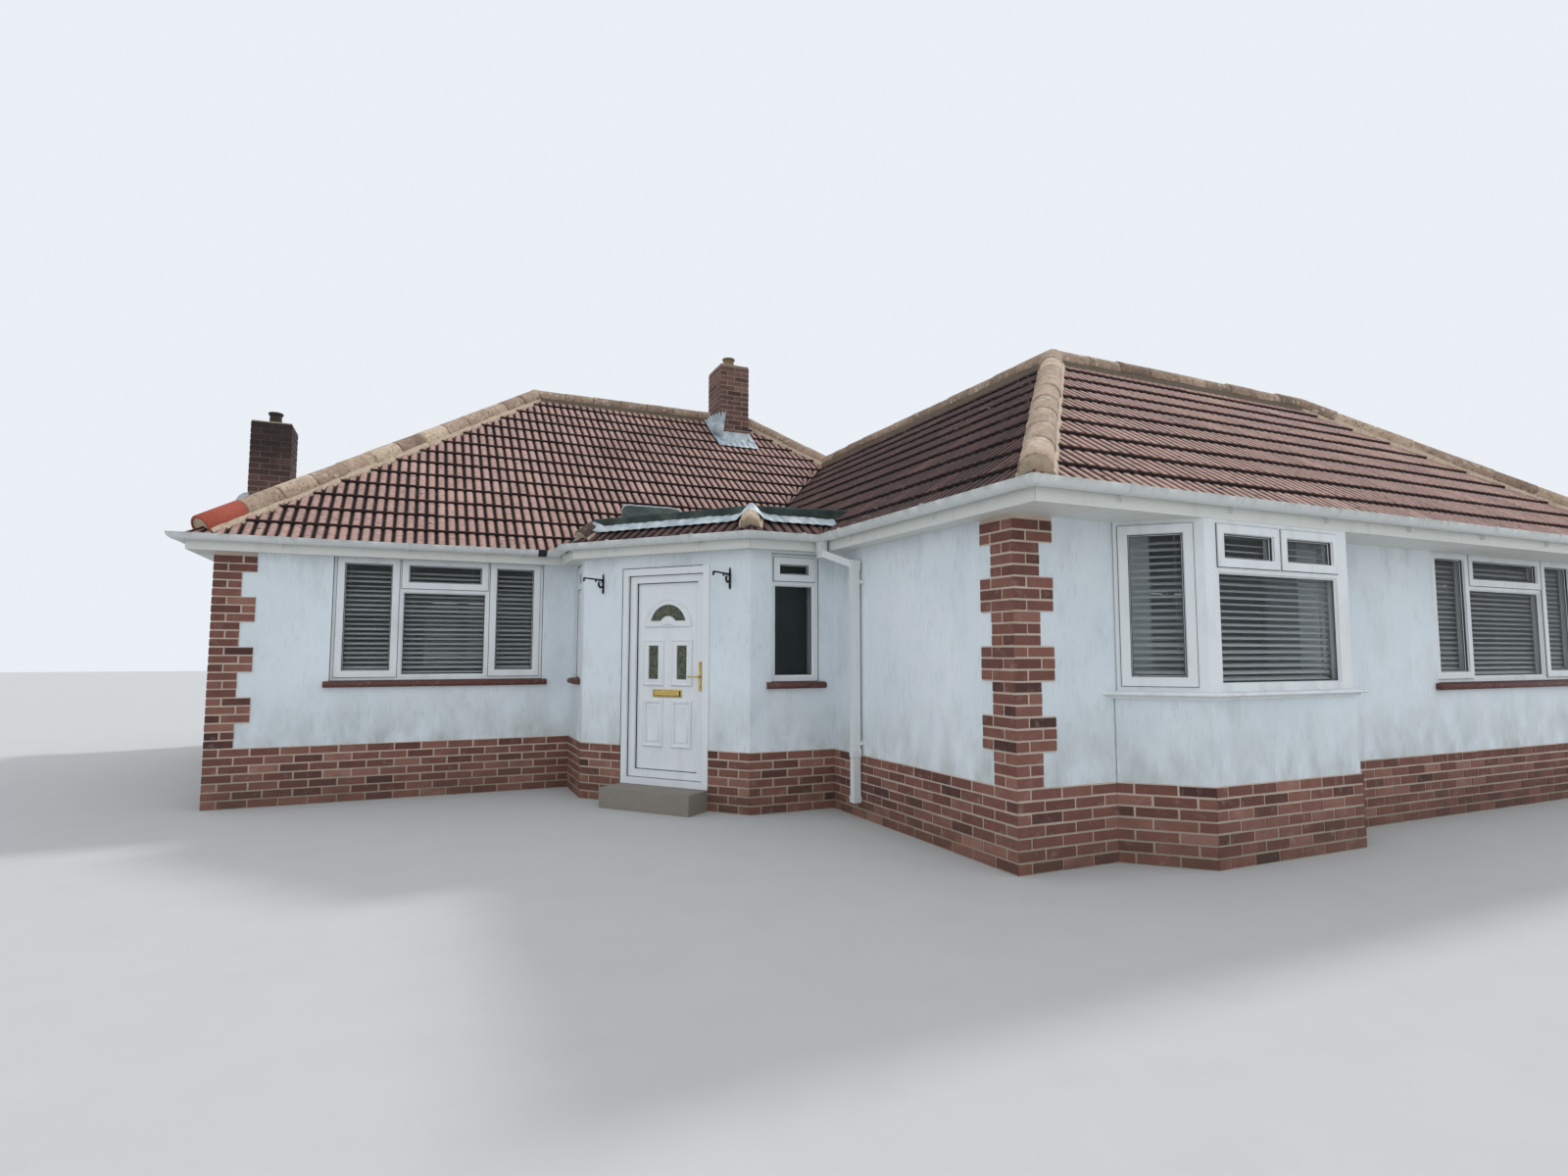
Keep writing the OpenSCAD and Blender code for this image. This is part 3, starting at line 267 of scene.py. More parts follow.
# A screen colour, 0 to 255, as the shader wants it
def tint(r, g, b):
    c = np.array([r, g, b]) / 255.0
    return tuple(np.where(c > 0.04045, ((c + 0.055) / 1.055) ** 2.4, c / 12.92)) + (1.0,)


# A socket whose sums add Math nodes
class Mask:
    def __init__(self, paint, socket):
        self.paint, self.socket = paint, socket

    def sum(self, operation, a, b=0.0):
        return self.paint.node("ShaderNodeMath", {"operation": operation}, {0: a, 1: b})

    def __add__(self, other):
        return self.sum("ADD", self, other)

    def __sub__(self, other):
        return self.sum("SUBTRACT", self, other)

    def __rsub__(self, other):
        return self.sum("SUBTRACT", other, self)

    def __mul__(self, other):
        return self.sum("MULTIPLY", self, other)

    __radd__, __rmul__ = __add__, __mul__


# One material and its nodes
class Paint:
    def __init__(self, name, roughness=0.6, **fixed):
        self.material = bpy.data.materials.new(name)
        self.material.use_nodes = True
        self.tree = self.material.node_tree
        self.tree.nodes.clear()
        self.shader = self.tree.nodes.new("ShaderNodeBsdfPrincipled")
        self.out = self.tree.nodes.new("ShaderNodeOutputMaterial")
        self.tree.links.new(self.shader.outputs[0], self.out.inputs[0])
        self.shader.inputs["Roughness"].default_value = roughness
        for socket, value in fixed.items():
            self.shader.inputs[socket.replace("_", " ")].default_value = value
        self.where = self.node("ShaderNodeTexCoord", {}, {}, "Object")

    def node(self, kind, settings, sockets, output=0):
        made = self.tree.nodes.new(kind)
        for key, value in settings.items():
            if key == "stops":
                ramp = made.color_ramp
                while len(ramp.elements) < len(value):
                    ramp.elements.new(0.5)
                for element, (at, colour) in zip(ramp.elements, value):
                    element.position, element.color = at, colour
            else:
                setattr(made, key, value)
        for key, value in sockets.items():
            self.put(made.inputs[key], value)
        return Mask(self, made.outputs[output])

    def put(self, socket, value):
        if isinstance(value, Mask):
            self.tree.links.new(value.socket, socket)
        elif value is not None:
            socket.default_value = value

    def noise(self, scale, detail=3.0, stretch=(1, 1, 1), roughness=0.55, shift=(0, 0, 0)):
        spot = self.node("ShaderNodeMapping", {}, {"Vector": self.where, "Scale": stretch, "Location": shift})
        return self.node("ShaderNodeTexNoise", {},
                         {"Vector": spot, "Scale": scale, "Detail": detail, "Roughness": roughness})

    def spots(self, scale, size, soft):  # round patches: 1 inside, 0 outside
        far = self.node("ShaderNodeTexVoronoi", {}, {"Vector": self.where, "Scale": scale}, "Distance")
        return self.between(far, size + soft, size)

    def between(self, value, low, high):  # 0 at low, 1 at high
        return self.node("ShaderNodeMapRange", {"clamp": True},
                         {"Value": value, "From Min": low, "From Max": high})

    def height(self, axis="Z"):
        return self.node("ShaderNodeSeparateXYZ", {}, {0: self.where}, axis)

    def soot(self, x, low, high):  # blackening that grows upward, only on the stack beyond x
        beyond = self.between(self.height("X"), x + 0.2, x)
        return beyond * self.between(self.height() + (self.noise(4, 4) - 0.5) * 0.5, low, high) * 0.85

    def own(self, name):
        return self.node("ShaderNodeAttribute", {"attribute_name": name}, {}, "Fac")

    def ramp(self, value, *stops):
        return self.node("ShaderNodeValToRGB", {"stops": [(at, tint(*c)) for at, c in stops]}, {0: value})

    def mix(self, factor, a, b):
        a, b = (c if isinstance(c, Mask) else tint(*c) for c in (a, b))
        return self.node("ShaderNodeMix", {"data_type": "RGBA"}, {0: factor, 6: a, 7: b}, 2)

    # Where a noise is over low, another colour comes in, fully from high on, up to a share
    def patch(self, base, noise, low, high, share, colour):
        return self.mix(self.between(self.noise(*noise), low, high) * share, base, colour)

    def finish(self, colour, roughness=None, bump=None, strength=0.3, distance=0.002):
        self.put(self.shader.inputs["Base Color"], colour)
        self.put(self.shader.inputs["Roughness"], roughness)
        if bump is not None:
            relief = self.node("ShaderNodeBump", {},
                               {"Strength": strength, "Distance": distance, "Height": bump})
            self.put(self.shader.inputs["Normal"], relief)
        return self.material


def renderFinish():
    look = {"white": (232, 239, 243), "cool": (216, 225, 230), "grime": (150, 156, 152),
            "moss": (122, 128, 104), "stain": (188, 190, 182), "runs": (128, 136, 132)}
    p = Paint("paintedRender", 0.82)
    base = p.mix(p.between(p.noise(0.8, 4), 0.35, 0.7), look["white"], look["cool"])
    cloud = p.noise(1.0, 6, (4.5, 4.5, 1.5), 0.66)
    fine = p.noise(1.0, 4, (30, 30, 12), 0.65, (3, 1, 0))
    eaves, foot = p.between(p.height(), 1.75, 2.3), p.between(p.height(), 1.05, 0.52)
    soil = p.between(cloud, 0.5, 0.82) * (0.35 + 0.5 * p.between(fine, 0.4, 0.7))
    base = p.mix(soil * (0.5 + 0.3 * eaves), base, look["grime"])
    base = p.patch(base, (2.3, 5, (1, 1, 0.8)), 0.55, 0.8, 0.35, look["stain"])
    damp = foot * p.between(p.noise(3.6, 5, (1.5, 1.5, 0.8)), 0.36, 0.74)
    base = p.mix(damp * 0.5, base, look["moss"])
    runs = p.between(p.noise(1.0, 5, (52, 52, 8), 0.66, (1, 4, 2)), 0.54, 0.72)
    runs = runs * p.between(p.noise(1.7, 3), 0.35, 0.6)
    base = p.mix(runs * 0.26, base, look["runs"])
    base = p.patch(base, (140, 2), 0.6, 0.76, 0.3, look["grime"])
    return p.finish(base, 0.85, p.noise(75, 4) * 0.6 + p.noise(6, 3), 0.35, 0.004)


def brickFinish(name, shades, dark=0.0, sootAt=None):
    p = Paint(name, 0.88)
    tone = p.own("tone")
    mottled = tone + (p.noise(9, 4) - 0.5) * 0.35 + (p.noise(70, 3) - 0.5) * 0.22 - dark
    colour = p.ramp(mottled, *[(0.12 + 0.19 * k, c) for k, c in enumerate(shades)])
    colour = p.patch(colour, (2.2, 5), 0.5, 0.75, 0.35, (72, 54, 50))
    colour = p.patch(colour, (14, 5), 0.58, 0.78, 0.35, (182, 160, 146))
    damp = p.between(p.height(), 0.42, 0.02) * p.between(p.noise(5, 4), 0.35, 0.65)
    colour = p.mix(damp * 0.5, colour, (82, 70, 54))
    if sootAt:
        colour = p.mix(p.soot(*sootAt), colour, (38, 32, 31))
    return p.finish(colour, 0.9, p.noise(160, 4) + p.noise(40, 3) * 0.8, 0.55, 0.0025)


def mortarFinish(name="mortar", colour=(216, 199, 183), sootAt=None):
    p = Paint(name, 0.95)
    base = p.mix(p.noise(5, 5), colour, [c - 34 for c in colour])
    base = p.patch(base, (60, 3), 0.55, 0.7, 0.3, (150, 136, 122))
    base = p.mix(p.between(p.height(), 0.42, 0.0) * 0.6, base, (104, 96, 74))
    if sootAt:
        base = p.mix(p.soot(*sootAt), base, (52, 45, 42))
    return p.finish(base, 0.95, p.noise(190, 4), 0.6, 0.003)


def tileFinish(name, lift=0.0, mossy=0.0, litCrowns=0.5):
    shades = [(56, 35, 34), (82, 53, 49), (109, 74, 67), (136, 99, 89), (168, 134, 122)]
    p = Paint(name, 0.9)
    tone, deep = p.own("tone"), p.own("deep")
    # lift moves a copy's colour lighter or darker as a whole; the shaded copy's low lift is a painted shade,
    # the noise its weathering
    wearAndLight = tone * 0.5 + 0.24 + (p.noise(3.0, 5) - 0.5) * 0.45 + (p.noise(38, 4) - 0.5) * 0.4 + lift
    colour = p.ramp(wearAndLight, *[(0.1 + 0.2 * k, c) for k, c in enumerate(shades)])
    # Painted highlight: the tops of the rolls, where deep is high, go paler; the last argument sets how much
    crown = p.between(deep, 0.74, 0.98) * (0.45 + p.between(p.noise(24, 4), 0.35, 0.7) * 0.55)
    colour = p.mix(crown * litCrowns, colour, (204, 172, 159))
    # Partly painted shade, partly dirt: where deep is low, in the troughs, on the noses and under them, the
    # colour goes near black
    trough = p.between(deep, 0.78, 0.42)
    colour = p.mix(trough * 0.96, colour, (22, 14, 15))
    lichen = p.between(p.noise(17, 5, (1, 1, 1), 0.7), 0.6 - mossy * 0.6, 0.68 - mossy * 0.4)
    grown = p.between(p.noise(0.8, 3), 0.38, 0.62)
    colour = p.mix(lichen * grown * 0.5, colour, (164, 156, 138))
    black = p.spots(11, 0.13, 0.1) * p.between(p.noise(2, 2), 0.45, 0.6)
    colour = p.mix(black * 0.75, colour, (34, 29, 27))
    moss = p.between(p.noise(6.5, 5), 0.66 - mossy, 0.78 - mossy) * trough
    colour = p.mix(moss * 0.7, colour, (78, 78, 50))
    return p.finish(colour, 0.92, p.noise(220, 3) + p.noise(30, 4) * 0.9, 0.5, 0.003)


def ridgeFinish():
    p = Paint("ridgeClay", 0.95)
    tone, deep = p.own("tone"), p.own("deep")
    base = p.ramp(tone + (p.noise(5, 5) - 0.5) * 0.7, (0.06, (84, 70, 62)), (0.4, (148, 126, 108)),
                  (0.7, (186, 162, 140)), (0.95, (212, 192, 166)))
    base = p.patch(base, (26, 5), 0.52, 0.64, 0.45, (96, 82, 70))
    base = p.mix(p.spots(12, 0.2, 0.16) * p.between(p.noise(3, 3), 0.42, 0.58) * 0.7, base, (198, 192, 174))
    where = p.between(p.noise(2, 3, (1, 1, 1), 0.5, (5, 5, 5)), 0.45, 0.6)
    base = p.mix(p.spots(31, 0.2, 0.14) * where * 0.7, base, (68, 62, 56))
    # Painted shade: each ridge tile's lower sides, where deep is low, go darker
    base = p.mix(p.between(deep, 0.5, 0.0) * 0.5, base, (88, 78, 66))
    return p.finish(base, 0.96, p.noise(34, 5) + p.noise(130, 3) * 0.5, 0.9, 0.007)


# A coat: one colour that turns to another by a noise, or by each face's tone, one kind of patches and a grain
def coatFinish(name, roughness, by, colours, patches, grain, strength, distance):
    p = Paint(name, roughness)
    base = p.patch(p.mix(p.noise(*by) if by else p.own("tone"), *colours), *patches)
    return p.finish(base, roughness, p.noise(*grain), strength, distance)


def plasticFinish(name="whitePlastic", colour=(232, 236, 237), dirt=0.25):
    p = Paint(name, 0.34)
    base = p.mix(p.noise(1.5, 3), colour, [c - 10 for c in colour])
    base = p.patch(base, (7, 5, (1, 1, 0.3)), 0.5, 0.75, dirt, (150, 152, 144))
    return p.finish(base, p.between(p.noise(9, 4), 0.2, 1.0) * 0.35 + 0.22, p.noise(300, 2), 0.04, 0.0005)


def gutterFinish():
    p = Paint("rainwaterPlastic", 0.5)
    base = p.mix(p.noise(1.1, 3), (230, 233, 232), (214, 218, 216))
    rim = p.between(p.height(), 2.365, 2.412) * p.between(p.noise(9, 5, (1, 1, 0.4)), 0.3, 0.62)
    base = p.mix(rim * 0.6, base, (128, 130, 122))
    base = p.patch(base, (1, 4, (24, 24, 1.2)), 0.55, 0.75, 0.3, (158, 160, 150))
    return p.finish(base, 0.5, p.noise(60, 3), 0.1, 0.001)


def glassFinish():
    p = Paint("windowGlass", 0.03, IOR=1.5, Alpha=0.18)
    base = p.mix(p.noise(1.2, 2), (48, 58, 60), (74, 86, 88))
    return p.finish(base, 0.03)


def doorGlassFinish():
    p = Paint("obscuredGlass", 0.12, Alpha=0.8)
    base = p.mix(p.between(p.noise(45, 3), 0.4, 0.6), (58, 66, 54), (106, 110, 84))
    return p.finish(base, 0.14, p.noise(110, 2), 0.6, 0.003)


def leadFinish():
    p = Paint("leadSheet", 0.6, Metallic=0.12)
    base = p.ramp(p.noise(7, 5), (0.3, (148, 160, 167)), (0.52, (188, 199, 204)), (0.72, (226, 231, 230)))
    base = p.patch(base, (24, 4), 0.62, 0.72, 0.4, (112, 120, 122))
    return p.finish(base, 0.58, p.noise(20, 4), 0.5, 0.006)


def feltFinish():
    p = Paint("mineralFelt", 0.95)
    base = p.ramp(p.noise(3, 5), (0.32, (34, 44, 42)), (0.52, (54, 67, 62)), (0.7, (82, 96, 86)))
    base = p.patch(base, (13, 5), 0.62, 0.74, 0.4, (112, 120, 106))
    # Painted highlight: faces with a tone near 1, the dressed sheet's top edge, go pale
    base = p.mix(p.between(p.own("tone"), 0.8, 0.95) * 0.75, base, (176, 186, 190))
    return p.finish(base, 0.95, p.noise(260, 2) + p.noise(9, 3), 0.6, 0.003)


def metalFinish(name, colour, roughness, metallic=1.0):
    p = Paint(name, roughness, Metallic=metallic)
    base = p.mix(p.noise(30, 4), colour, [int(c * 0.72) for c in colour])
    return p.finish(base, p.noise(40, 4) * 0.25 + (roughness - 0.1), p.noise(160, 3), 0.08, 0.0008)


def plainFinish(name, colour, roughness, grain=60, strength=0.3, spread=26):
    p = Paint(name, roughness)
    darker, darkest = ([max(c - k * spread, 0) for c in colour] for k in (1, 2))
    base = p.patch(p.mix(p.noise(2.4, 5), colour, darker), (grain, 4), 0.5, 0.75, 0.3, darkest)
    return p.finish(base, roughness, p.noise(grain * 2, 4), strength, 0.002)


reds = [(76, 50, 45), (103, 66, 58), (122, 79, 68), (138, 95, 82), (156, 116, 101)]
duller = [(66, 48, 46), (92, 66, 61), (112, 80, 73), (130, 96, 87), (150, 118, 107)]
sootAt = (-6.2, 3.1, 4.0)  # on the left stack, between these heights
finishes = {
    "render": renderFinish(),
    "brick": brickFinish("redBrick", reds),
    "sootBrick": brickFinish("sootedBrick", duller, 0.04, sootAt),
    "mortar": mortarFinish(),
    "darkMortar": mortarFinish("sootedMortar", (172, 158, 142), sootAt),
    # The link and porch tiles get a darker copy: partly painted shade, partly their heavier weathering and
    # moss, with less painted highlight on their crowns
    "tile": tileFinish("roofTile", 0.10, 0.0, 0.78),
    "linkTile": tileFinish("shadedRoofTile", -0.33, 0.05, 0.10),
    "ridge": ridgeFinish(),
    # the bed's dark tone, used on the level ridges, is a painted shade
    "bedding": coatFinish("ridgeMortar", 0.95, None, ((84, 74, 62), (206, 188, 162)),
                          ((22, 4), 0.5, 0.72, 0.45, (118, 106, 90)), (44, 4), 0.8, 0.003),
    "plastic": plasticFinish(),
    "doorPlastic": plasticFinish("doorPlastic", (234, 238, 240), 0.12),
    "gutter": gutterFinish(),
    "board": coatFinish("eavesBoards", 0.55, (0.7, 3), ((230, 231, 227), (214, 215, 208)),
                        ((1, 4, (9, 9, 1.5)), 0.55, 0.8, 0.3, (170, 169, 156)), (50, 3), 0.1, 0.001),
    "glass": glassFinish(),
    "doorGlass": doorGlassFinish(),
    "blind": coatFinish("blindSlats", 0.45, None, ((222, 228, 228), (240, 243, 242)),
                        ((12, 4), 0.45, 0.7, 0.2, (176, 178, 170)), (90, 2), 0.05, 0.0005),
    "sill": coatFinish("paintedSill", 0.65, (8, 5), ((110, 62, 54), (80, 50, 45)),
                       ((30, 4), 0.58, 0.7, 0.55, (150, 128, 112)), (120, 4), 0.4, 0.002),
    "lead": leadFinish(),
    "felt": feltFinish(),
    "brass": metalFinish("polishedBrass", (238, 208, 128), 0.28),
    "steel": metalFinish("satinSteel", (176, 176, 174), 0.35),
    "iron": metalFinish("blackIron", (26, 26, 27), 0.55, 0.4),
    "seal": plainFinish("blackSeal", (38, 40, 42), 0.7, 80, 0.2, 12),
    "concrete": plainFinish("floatedConcrete", (150, 144, 134), 0.95, 40, 0.5),
    "plaster": plainFinish("innerPlaster", (214, 210, 200), 0.9, 30, 0.2, 14),
    "underlay": plainFinish("roofUnderlay", (64, 44, 40), 0.95, 30, 0.4, 14),
    "pot": plainFinish("clayPot", (150, 128, 108), 0.9, 30, 0.5, 40),
    "newClay": plainFinish("newClay", (184, 98, 78), 0.9, 30, 0.5, 34),
    "darkPot": plainFinish("sootedPot", (70, 62, 56), 0.9, 30, 0.5, 20),
}

# Each finish and how the names of the CAD nodes that get it end
nodeFinish = {
    "render": ("_wall", "bay_beam"),
    "mortar": ("_plinth", "brick_quoins"),
    "darkMortar": ("_chimney",),
    "plastic": ("_window", "_windows", "bay_sill"),
    "doorPlastic": ("door_frame", "door_leaf"),
    "glass": ("window_glass",),
    "doorGlass": ("door_glass",),
    "sill": ("window_sills",),
    "blind": ("window_blinds",),
    "brass": ("door_handles", "letter_plate"),
    "steel": ("_hinges",),
    "iron": ("lamp_brackets",),
    "board": ("_boards",),
    "gutter": ("gutters", "downpipes"),
    "underlay": ("_slope", "porch_apron"),
    "ridge": ("ridge_tiles",),
    "felt": ("porch_flat_roof",),
    "lead": ("lead_flashings",),
    "pot": ("chimney_pots",),
    "concrete": ("floor_slab", "door_step"),
    "plaster": ("ceiling",),
}
for name, node in nodes.items():
    (finish,) = [finish for finish, endings in nodeFinish.items() if name.endswith(endings)]
    node.data.materials.clear()
    node.data.materials.append(finishes[finish])
print("finishes made:", len(finishes))

# Roof tiles: broad flat-topped rolls in courses
tiles = {
    "gauge": 0.305,
    "roll": 0.0953,
    "rollHeight": 0.020,
    "base": -0.040,
    "lift": 0.024,
    "nose": 0.006,
    "eaveReach": 0.036,
    "under": -0.125,
    "shape": ([0, 0.08, 0.17, 0.30, 0.5, 0.70, 0.83, 0.92, 1], [0, 0.06, 0.74, 0.97, 1, 0.97, 0.74, 0.06, 0]),
    "slopes": {  # each one's wall, the solid it stands for and its corners
        "mainFrontTiles": (mainFront, "main_front_slope", [
            "eave6", "eave7", "apronLeft", "deckLeft", "deckBack", "valleyTop", "ridgeRight", "ridgeLeft"]),
        "mainLeftTiles": (mainLeft, "main_left_slope", ["eave5", "eave6", "ridgeLeft"]),
        "mainBackTiles": (mainBack, "main_back_slope", ["eave4", "eave5", "ridgeLeft", "ridgeRight"]),
        "courtyardTiles": (courtyard, "main_right_slope", [
            "eave3", "eave4", "ridgeRight", "valleyTop", "wingRidgeLeft"]),
        "wingBackTiles": (wingBack, "wing_back_slope", ["eave2", "eave3", "wingRidgeLeft", "wingRidgeRight"]),
        "wingEndTiles": (wingEnd, "wing_end_slope", ["eave1", "eave2", "wingRidgeRight"]),
        "wingFrontTiles": (wingFront, "wing_front_slope", [
            "eave0", "eave1", "wingRidgeRight", "wingRidgeLeft"]),
        "linkTiles": (link, "link_slope", [
            "eave10", "eave0", "wingRidgeLeft", "valleyTop", "deckBack", "deckRight", "apronRight"]),
        "porchLeftTiles": (porchLeft, "porch_apron", ["eave7", "eave8", "capLeft", "apronLeft"]),
        "porchDoorTiles": (porchDoor, "porch_apron", ["eave8", "eave9", "capRight", "capLeft"]),
        "porchRightTiles": (porchRight, "porch_apron", ["eave9", "eave10", "apronRight", "capRight"]),
    },
    "shaded": ("linkTiles", "porchDoorTiles", "porchLeftTiles", "porchRightTiles"),
    "slip": 0.0022,
    "raised": 0.0009,
    "tail": 0.92,  # where the next course's shadow begins
}


# How far along the eave an edge [u0, v0, u1, v1] of a slope's outline is at v
def reached(edge, v):
    return edge[0] + (edge[2] - edge[0]) * (v - edge[1]) / (edge[3] - edge[1])


# A slope is cut into bands at its corners' heights; in each band every row of points runs from the left edge
# to the right one, with points beyond an edge pulled back onto it. The height off the slab is the roll's
# shape across, plus a step that falls from each course's nose to the next
def layTiles(form, i, corners, seed):
    t = tiles
    own = np.random.default_rng(seed)
    outline = np.array([roof[name] for name in corners]) - walls[i]
    us = outline @ direction(walls, i)
    vs = (house["overhang"][i] - outline @ outward(walls, i)) / cosPitch
    courses = int(vs.max() / t["gauge"]) + 2
    columns = int(np.ptp(us) / t["roll"]) + 12
    first = math.floor(us.min() / t["roll"]) - 4
    across = np.array(t["shape"][0][:-1])
    u = ((first + np.arange(columns))[:, None] + across[None, :]).reshape(-1) * t["roll"]
    tile = (np.floor(u / t["roll"]).astype(int) - first) // 2
    spreads = (t["slip"], t["raised"], 1)
    slip, raised, patchy = (own.normal(0, spread, (courses, columns)) for spread in spreads)
    drift = waves(np.arange(courses)[:, None] * 1.7 + np.arange(columns) * 0.6, seed, 9, 23)
    tone = np.clip(0.5 + 0.17 * patchy + 0.12 * drift, 0, 1)
    levels = np.unique(np.round(vs, 5))
    levels = levels[np.insert(np.diff(levels) > 0.02, 0, True)]
    start = -t["eaveReach"]
    rows = []
    for k in range(courses):  # nose foot, nose, nose top and the far end of every course
        v = start + k * t["gauge"]
        rows += [(v, k, 0.0, -1), (v + 0.0008, k, 0.0, -t["nose"]), (v + t["nose"], k, 0.02, 0.0)]
        rows += [(v + t["tail"] * t["gauge"], k, t["tail"], 0.0), (v + t["gauge"] - 0.0004, k, 1.0, 0.0)]
    rows = np.array(rows)
    edges = list(zip(us, vs, np.roll(us, -1), np.roll(vs, -1)))
    for low, high in zip(levels[:-1], levels[1:]):
        middle = (low + high) / 2
        sides = [e for e in edges if (e[1] - middle) * (e[3] - middle) < 0]
        cuts = sorted(sides, key=lambda e: reached(e, middle))
        left, right = cuts[0], cuts[-1]
        lowest = low == levels[0]
        bottom = start if lowest else low
        inside = rows[(rows[:, 0] >= bottom - 1e-9) & (rows[:, 0] < high)]
        done = [(v - start) / t["gauge"] for v in (bottom, high)]
        borders = [np.array([[v, math.floor(k), k % 1, 0.0]]) for v, k in zip((bottom, high), done)]
        band = np.concatenate(([] if lowest else [borders[0]]) + [inside, borders[1]])
        v, course, part, drop = (band[:, j, None] for j in range(4))
        course = course.astype(int)[:, 0]
        lean = t["base"] + t["lift"] * (1 - part) + raised[course][:, tile] * (1 - part)
        foot = drop == -1
        lean = np.where(foot, t["base"], lean + drop)
        free = (v > low + 0.02) * (v < high - 0.02)
        onTile = np.clip(v + np.where(part < 0.5, slip[course][:, tile] * free, 0), bottom, high)
        edge = [reached(e, v) for e in (left, right)]
        across = np.clip(np.broadcast_to(u, (len(band), len(u))), edge[0], np.maximum(edge[0], edge[1]))
        rise = np.interp((across / t["roll"]) % 1, *t["shape"])
        under = (foot & (course[:, None] == 0)).astype(float)
        height = lean + t["rollHeight"] * rise * (1 - under)
        shaded = np.select([foot, drop < 0, part == 1.0], [0.25, 0.6, 0.2], 1.0)  # painted shadow under and on the noses
        form.sheet(onSlope(i, across, onTile, height), tone[course][:, tile], rise * shaded)
        # the battens and boards below, as a plain body that closes the band; its deep of 0 gives it
        # the troughs' near black, a painted shade under the tiles
        ends = np.array([[reached(e, v) for e in (left, right)] for v in (bottom, high)])
        loops = [[(0, 0, 0), (0, 0, 1), (1, 0, 1), (1, 0, 0)], [(0, 1, 1), (0, 1, 0), (1, 1, 0), (1, 1, 1)],
                 [(0, 0, 1), (0, 1, 1), (1, 1, 1), (1, 0, 1)], [(0, 0, 0), (0, 1, 0), (0, 1, 1), (0, 0, 1)]]
        deepest = (t["base"] - 0.006 if lowest else t["under"], t["under"])
        for loop in loops if lowest else loops[:3]:
            corner = [(ends[r, c], (bottom, high)[r], deepest[r] if d else t["base"]) for r, c, d in loop]
            form.add(onSlope(i, *np.array(corner).T), [[0, 1, 2, 3]], 0.3, 0.0)


for number, (name, (i, solid, corners)) in enumerate(tiles["slopes"].items()):
    form = Form()
    layTiles(form, i, corners, 100 + number)
    finish = "linkTile" if name in tiles["shaded"] else "tile"
    makePiece(name, form, finish, replaced=(solid,), sharp=42)
print("roof tiled:", len(tiles["slopes"]), "slopes")

# Half-round tiles on the ridges and hips, each a little out of line, bedded in mortar
ridges = {
    "radius": 0.106,
    "length": 0.40,
    "gap": 0.009,
    "foot": 0.13,
    "edge": 14.0,  # how far below level each side comes down, in degrees
    "thin": 0.010,
    "porchRadius": 0.088,
    "porchFoot": 0.09,
    "runs": [("ridgeLeft", "ridgeRight", mainFront, mainBack), ("eave6", "ridgeLeft", mainLeft, mainFront),
             ("eave5", "ridgeLeft", mainBack, mainLeft), ("eave4", "ridgeRight", courtyard, mainBack),
             ("ridgeRight", "valleyTop", mainFront, courtyard), ("valleyTop", "wingRidgeLeft", link, courtyard),
             ("eave0", "wingRidgeLeft", link, wingFront),
             ("wingRidgeLeft", "wingRidgeRight", wingFront, wingBack),
             ("eave1", "wingRidgeRight", wingFront, wingEnd), ("eave2", "wingRidgeRight", wingEnd, wingBack)],
    "porch": [("eave8", "capLeft", porchLeft, porchDoor), ("eave9", "capRight", porchDoor, porchRight)],
    # the porch hips' mean tones: the left one dark, a painted shade, the right one pale, a painted light
    "porchShades": (0.0, 0.85),
    "meetings": {"ridgeLeft": mainFront, "ridgeRight": mainFront, "valleyTop": link, "wingRidgeLeft": wingFront,
                 "wingRidgeRight": wingFront},
}


# Along a run: the axis lies under the line where the slopes meet, "side" is level and "up" square to both
def runFrame(first, last, i, foot):
    p, q = roof[first], roof[last]
    u = (q - p) / np.linalg.norm(q - p)
    p = p + foot * u * first.startswith("eave")
    ends = np.array([[*e, heightOn(roofPlane(i), e) - house["ridgeDrop"]] for e in (p, q)])
    length = np.linalg.norm(ends[1] - ends[0])
    u = (ends[1] - ends[0]) / length
    side = np.cross(u, [0, 0, 1.0])
    side /= np.linalg.norm(side)
    return ends[0], u, side, np.cross(side, u), length


# Points on cross-sections of a run: a way along it, then out to its side and up from its axis
def offAxis(line, at, out, rise):
    start, u, side, up = line
    return start + at[:, None, None] * u + out[..., None] * side + rise[..., None] * up


def halfRound(low, high, count):
    return np.radians(np.linspace(low, high, count))


# How far up the cross-section the slope on one side lies, a given way out from the axis
def slopeBeside(i, side, up, out, lift):
    g = np.array([*roofPlane(i)[:2], 0.0])
    return (lift + house["ridgeDrop"] + out * (g @ side)) / (up[2] - g @ up)


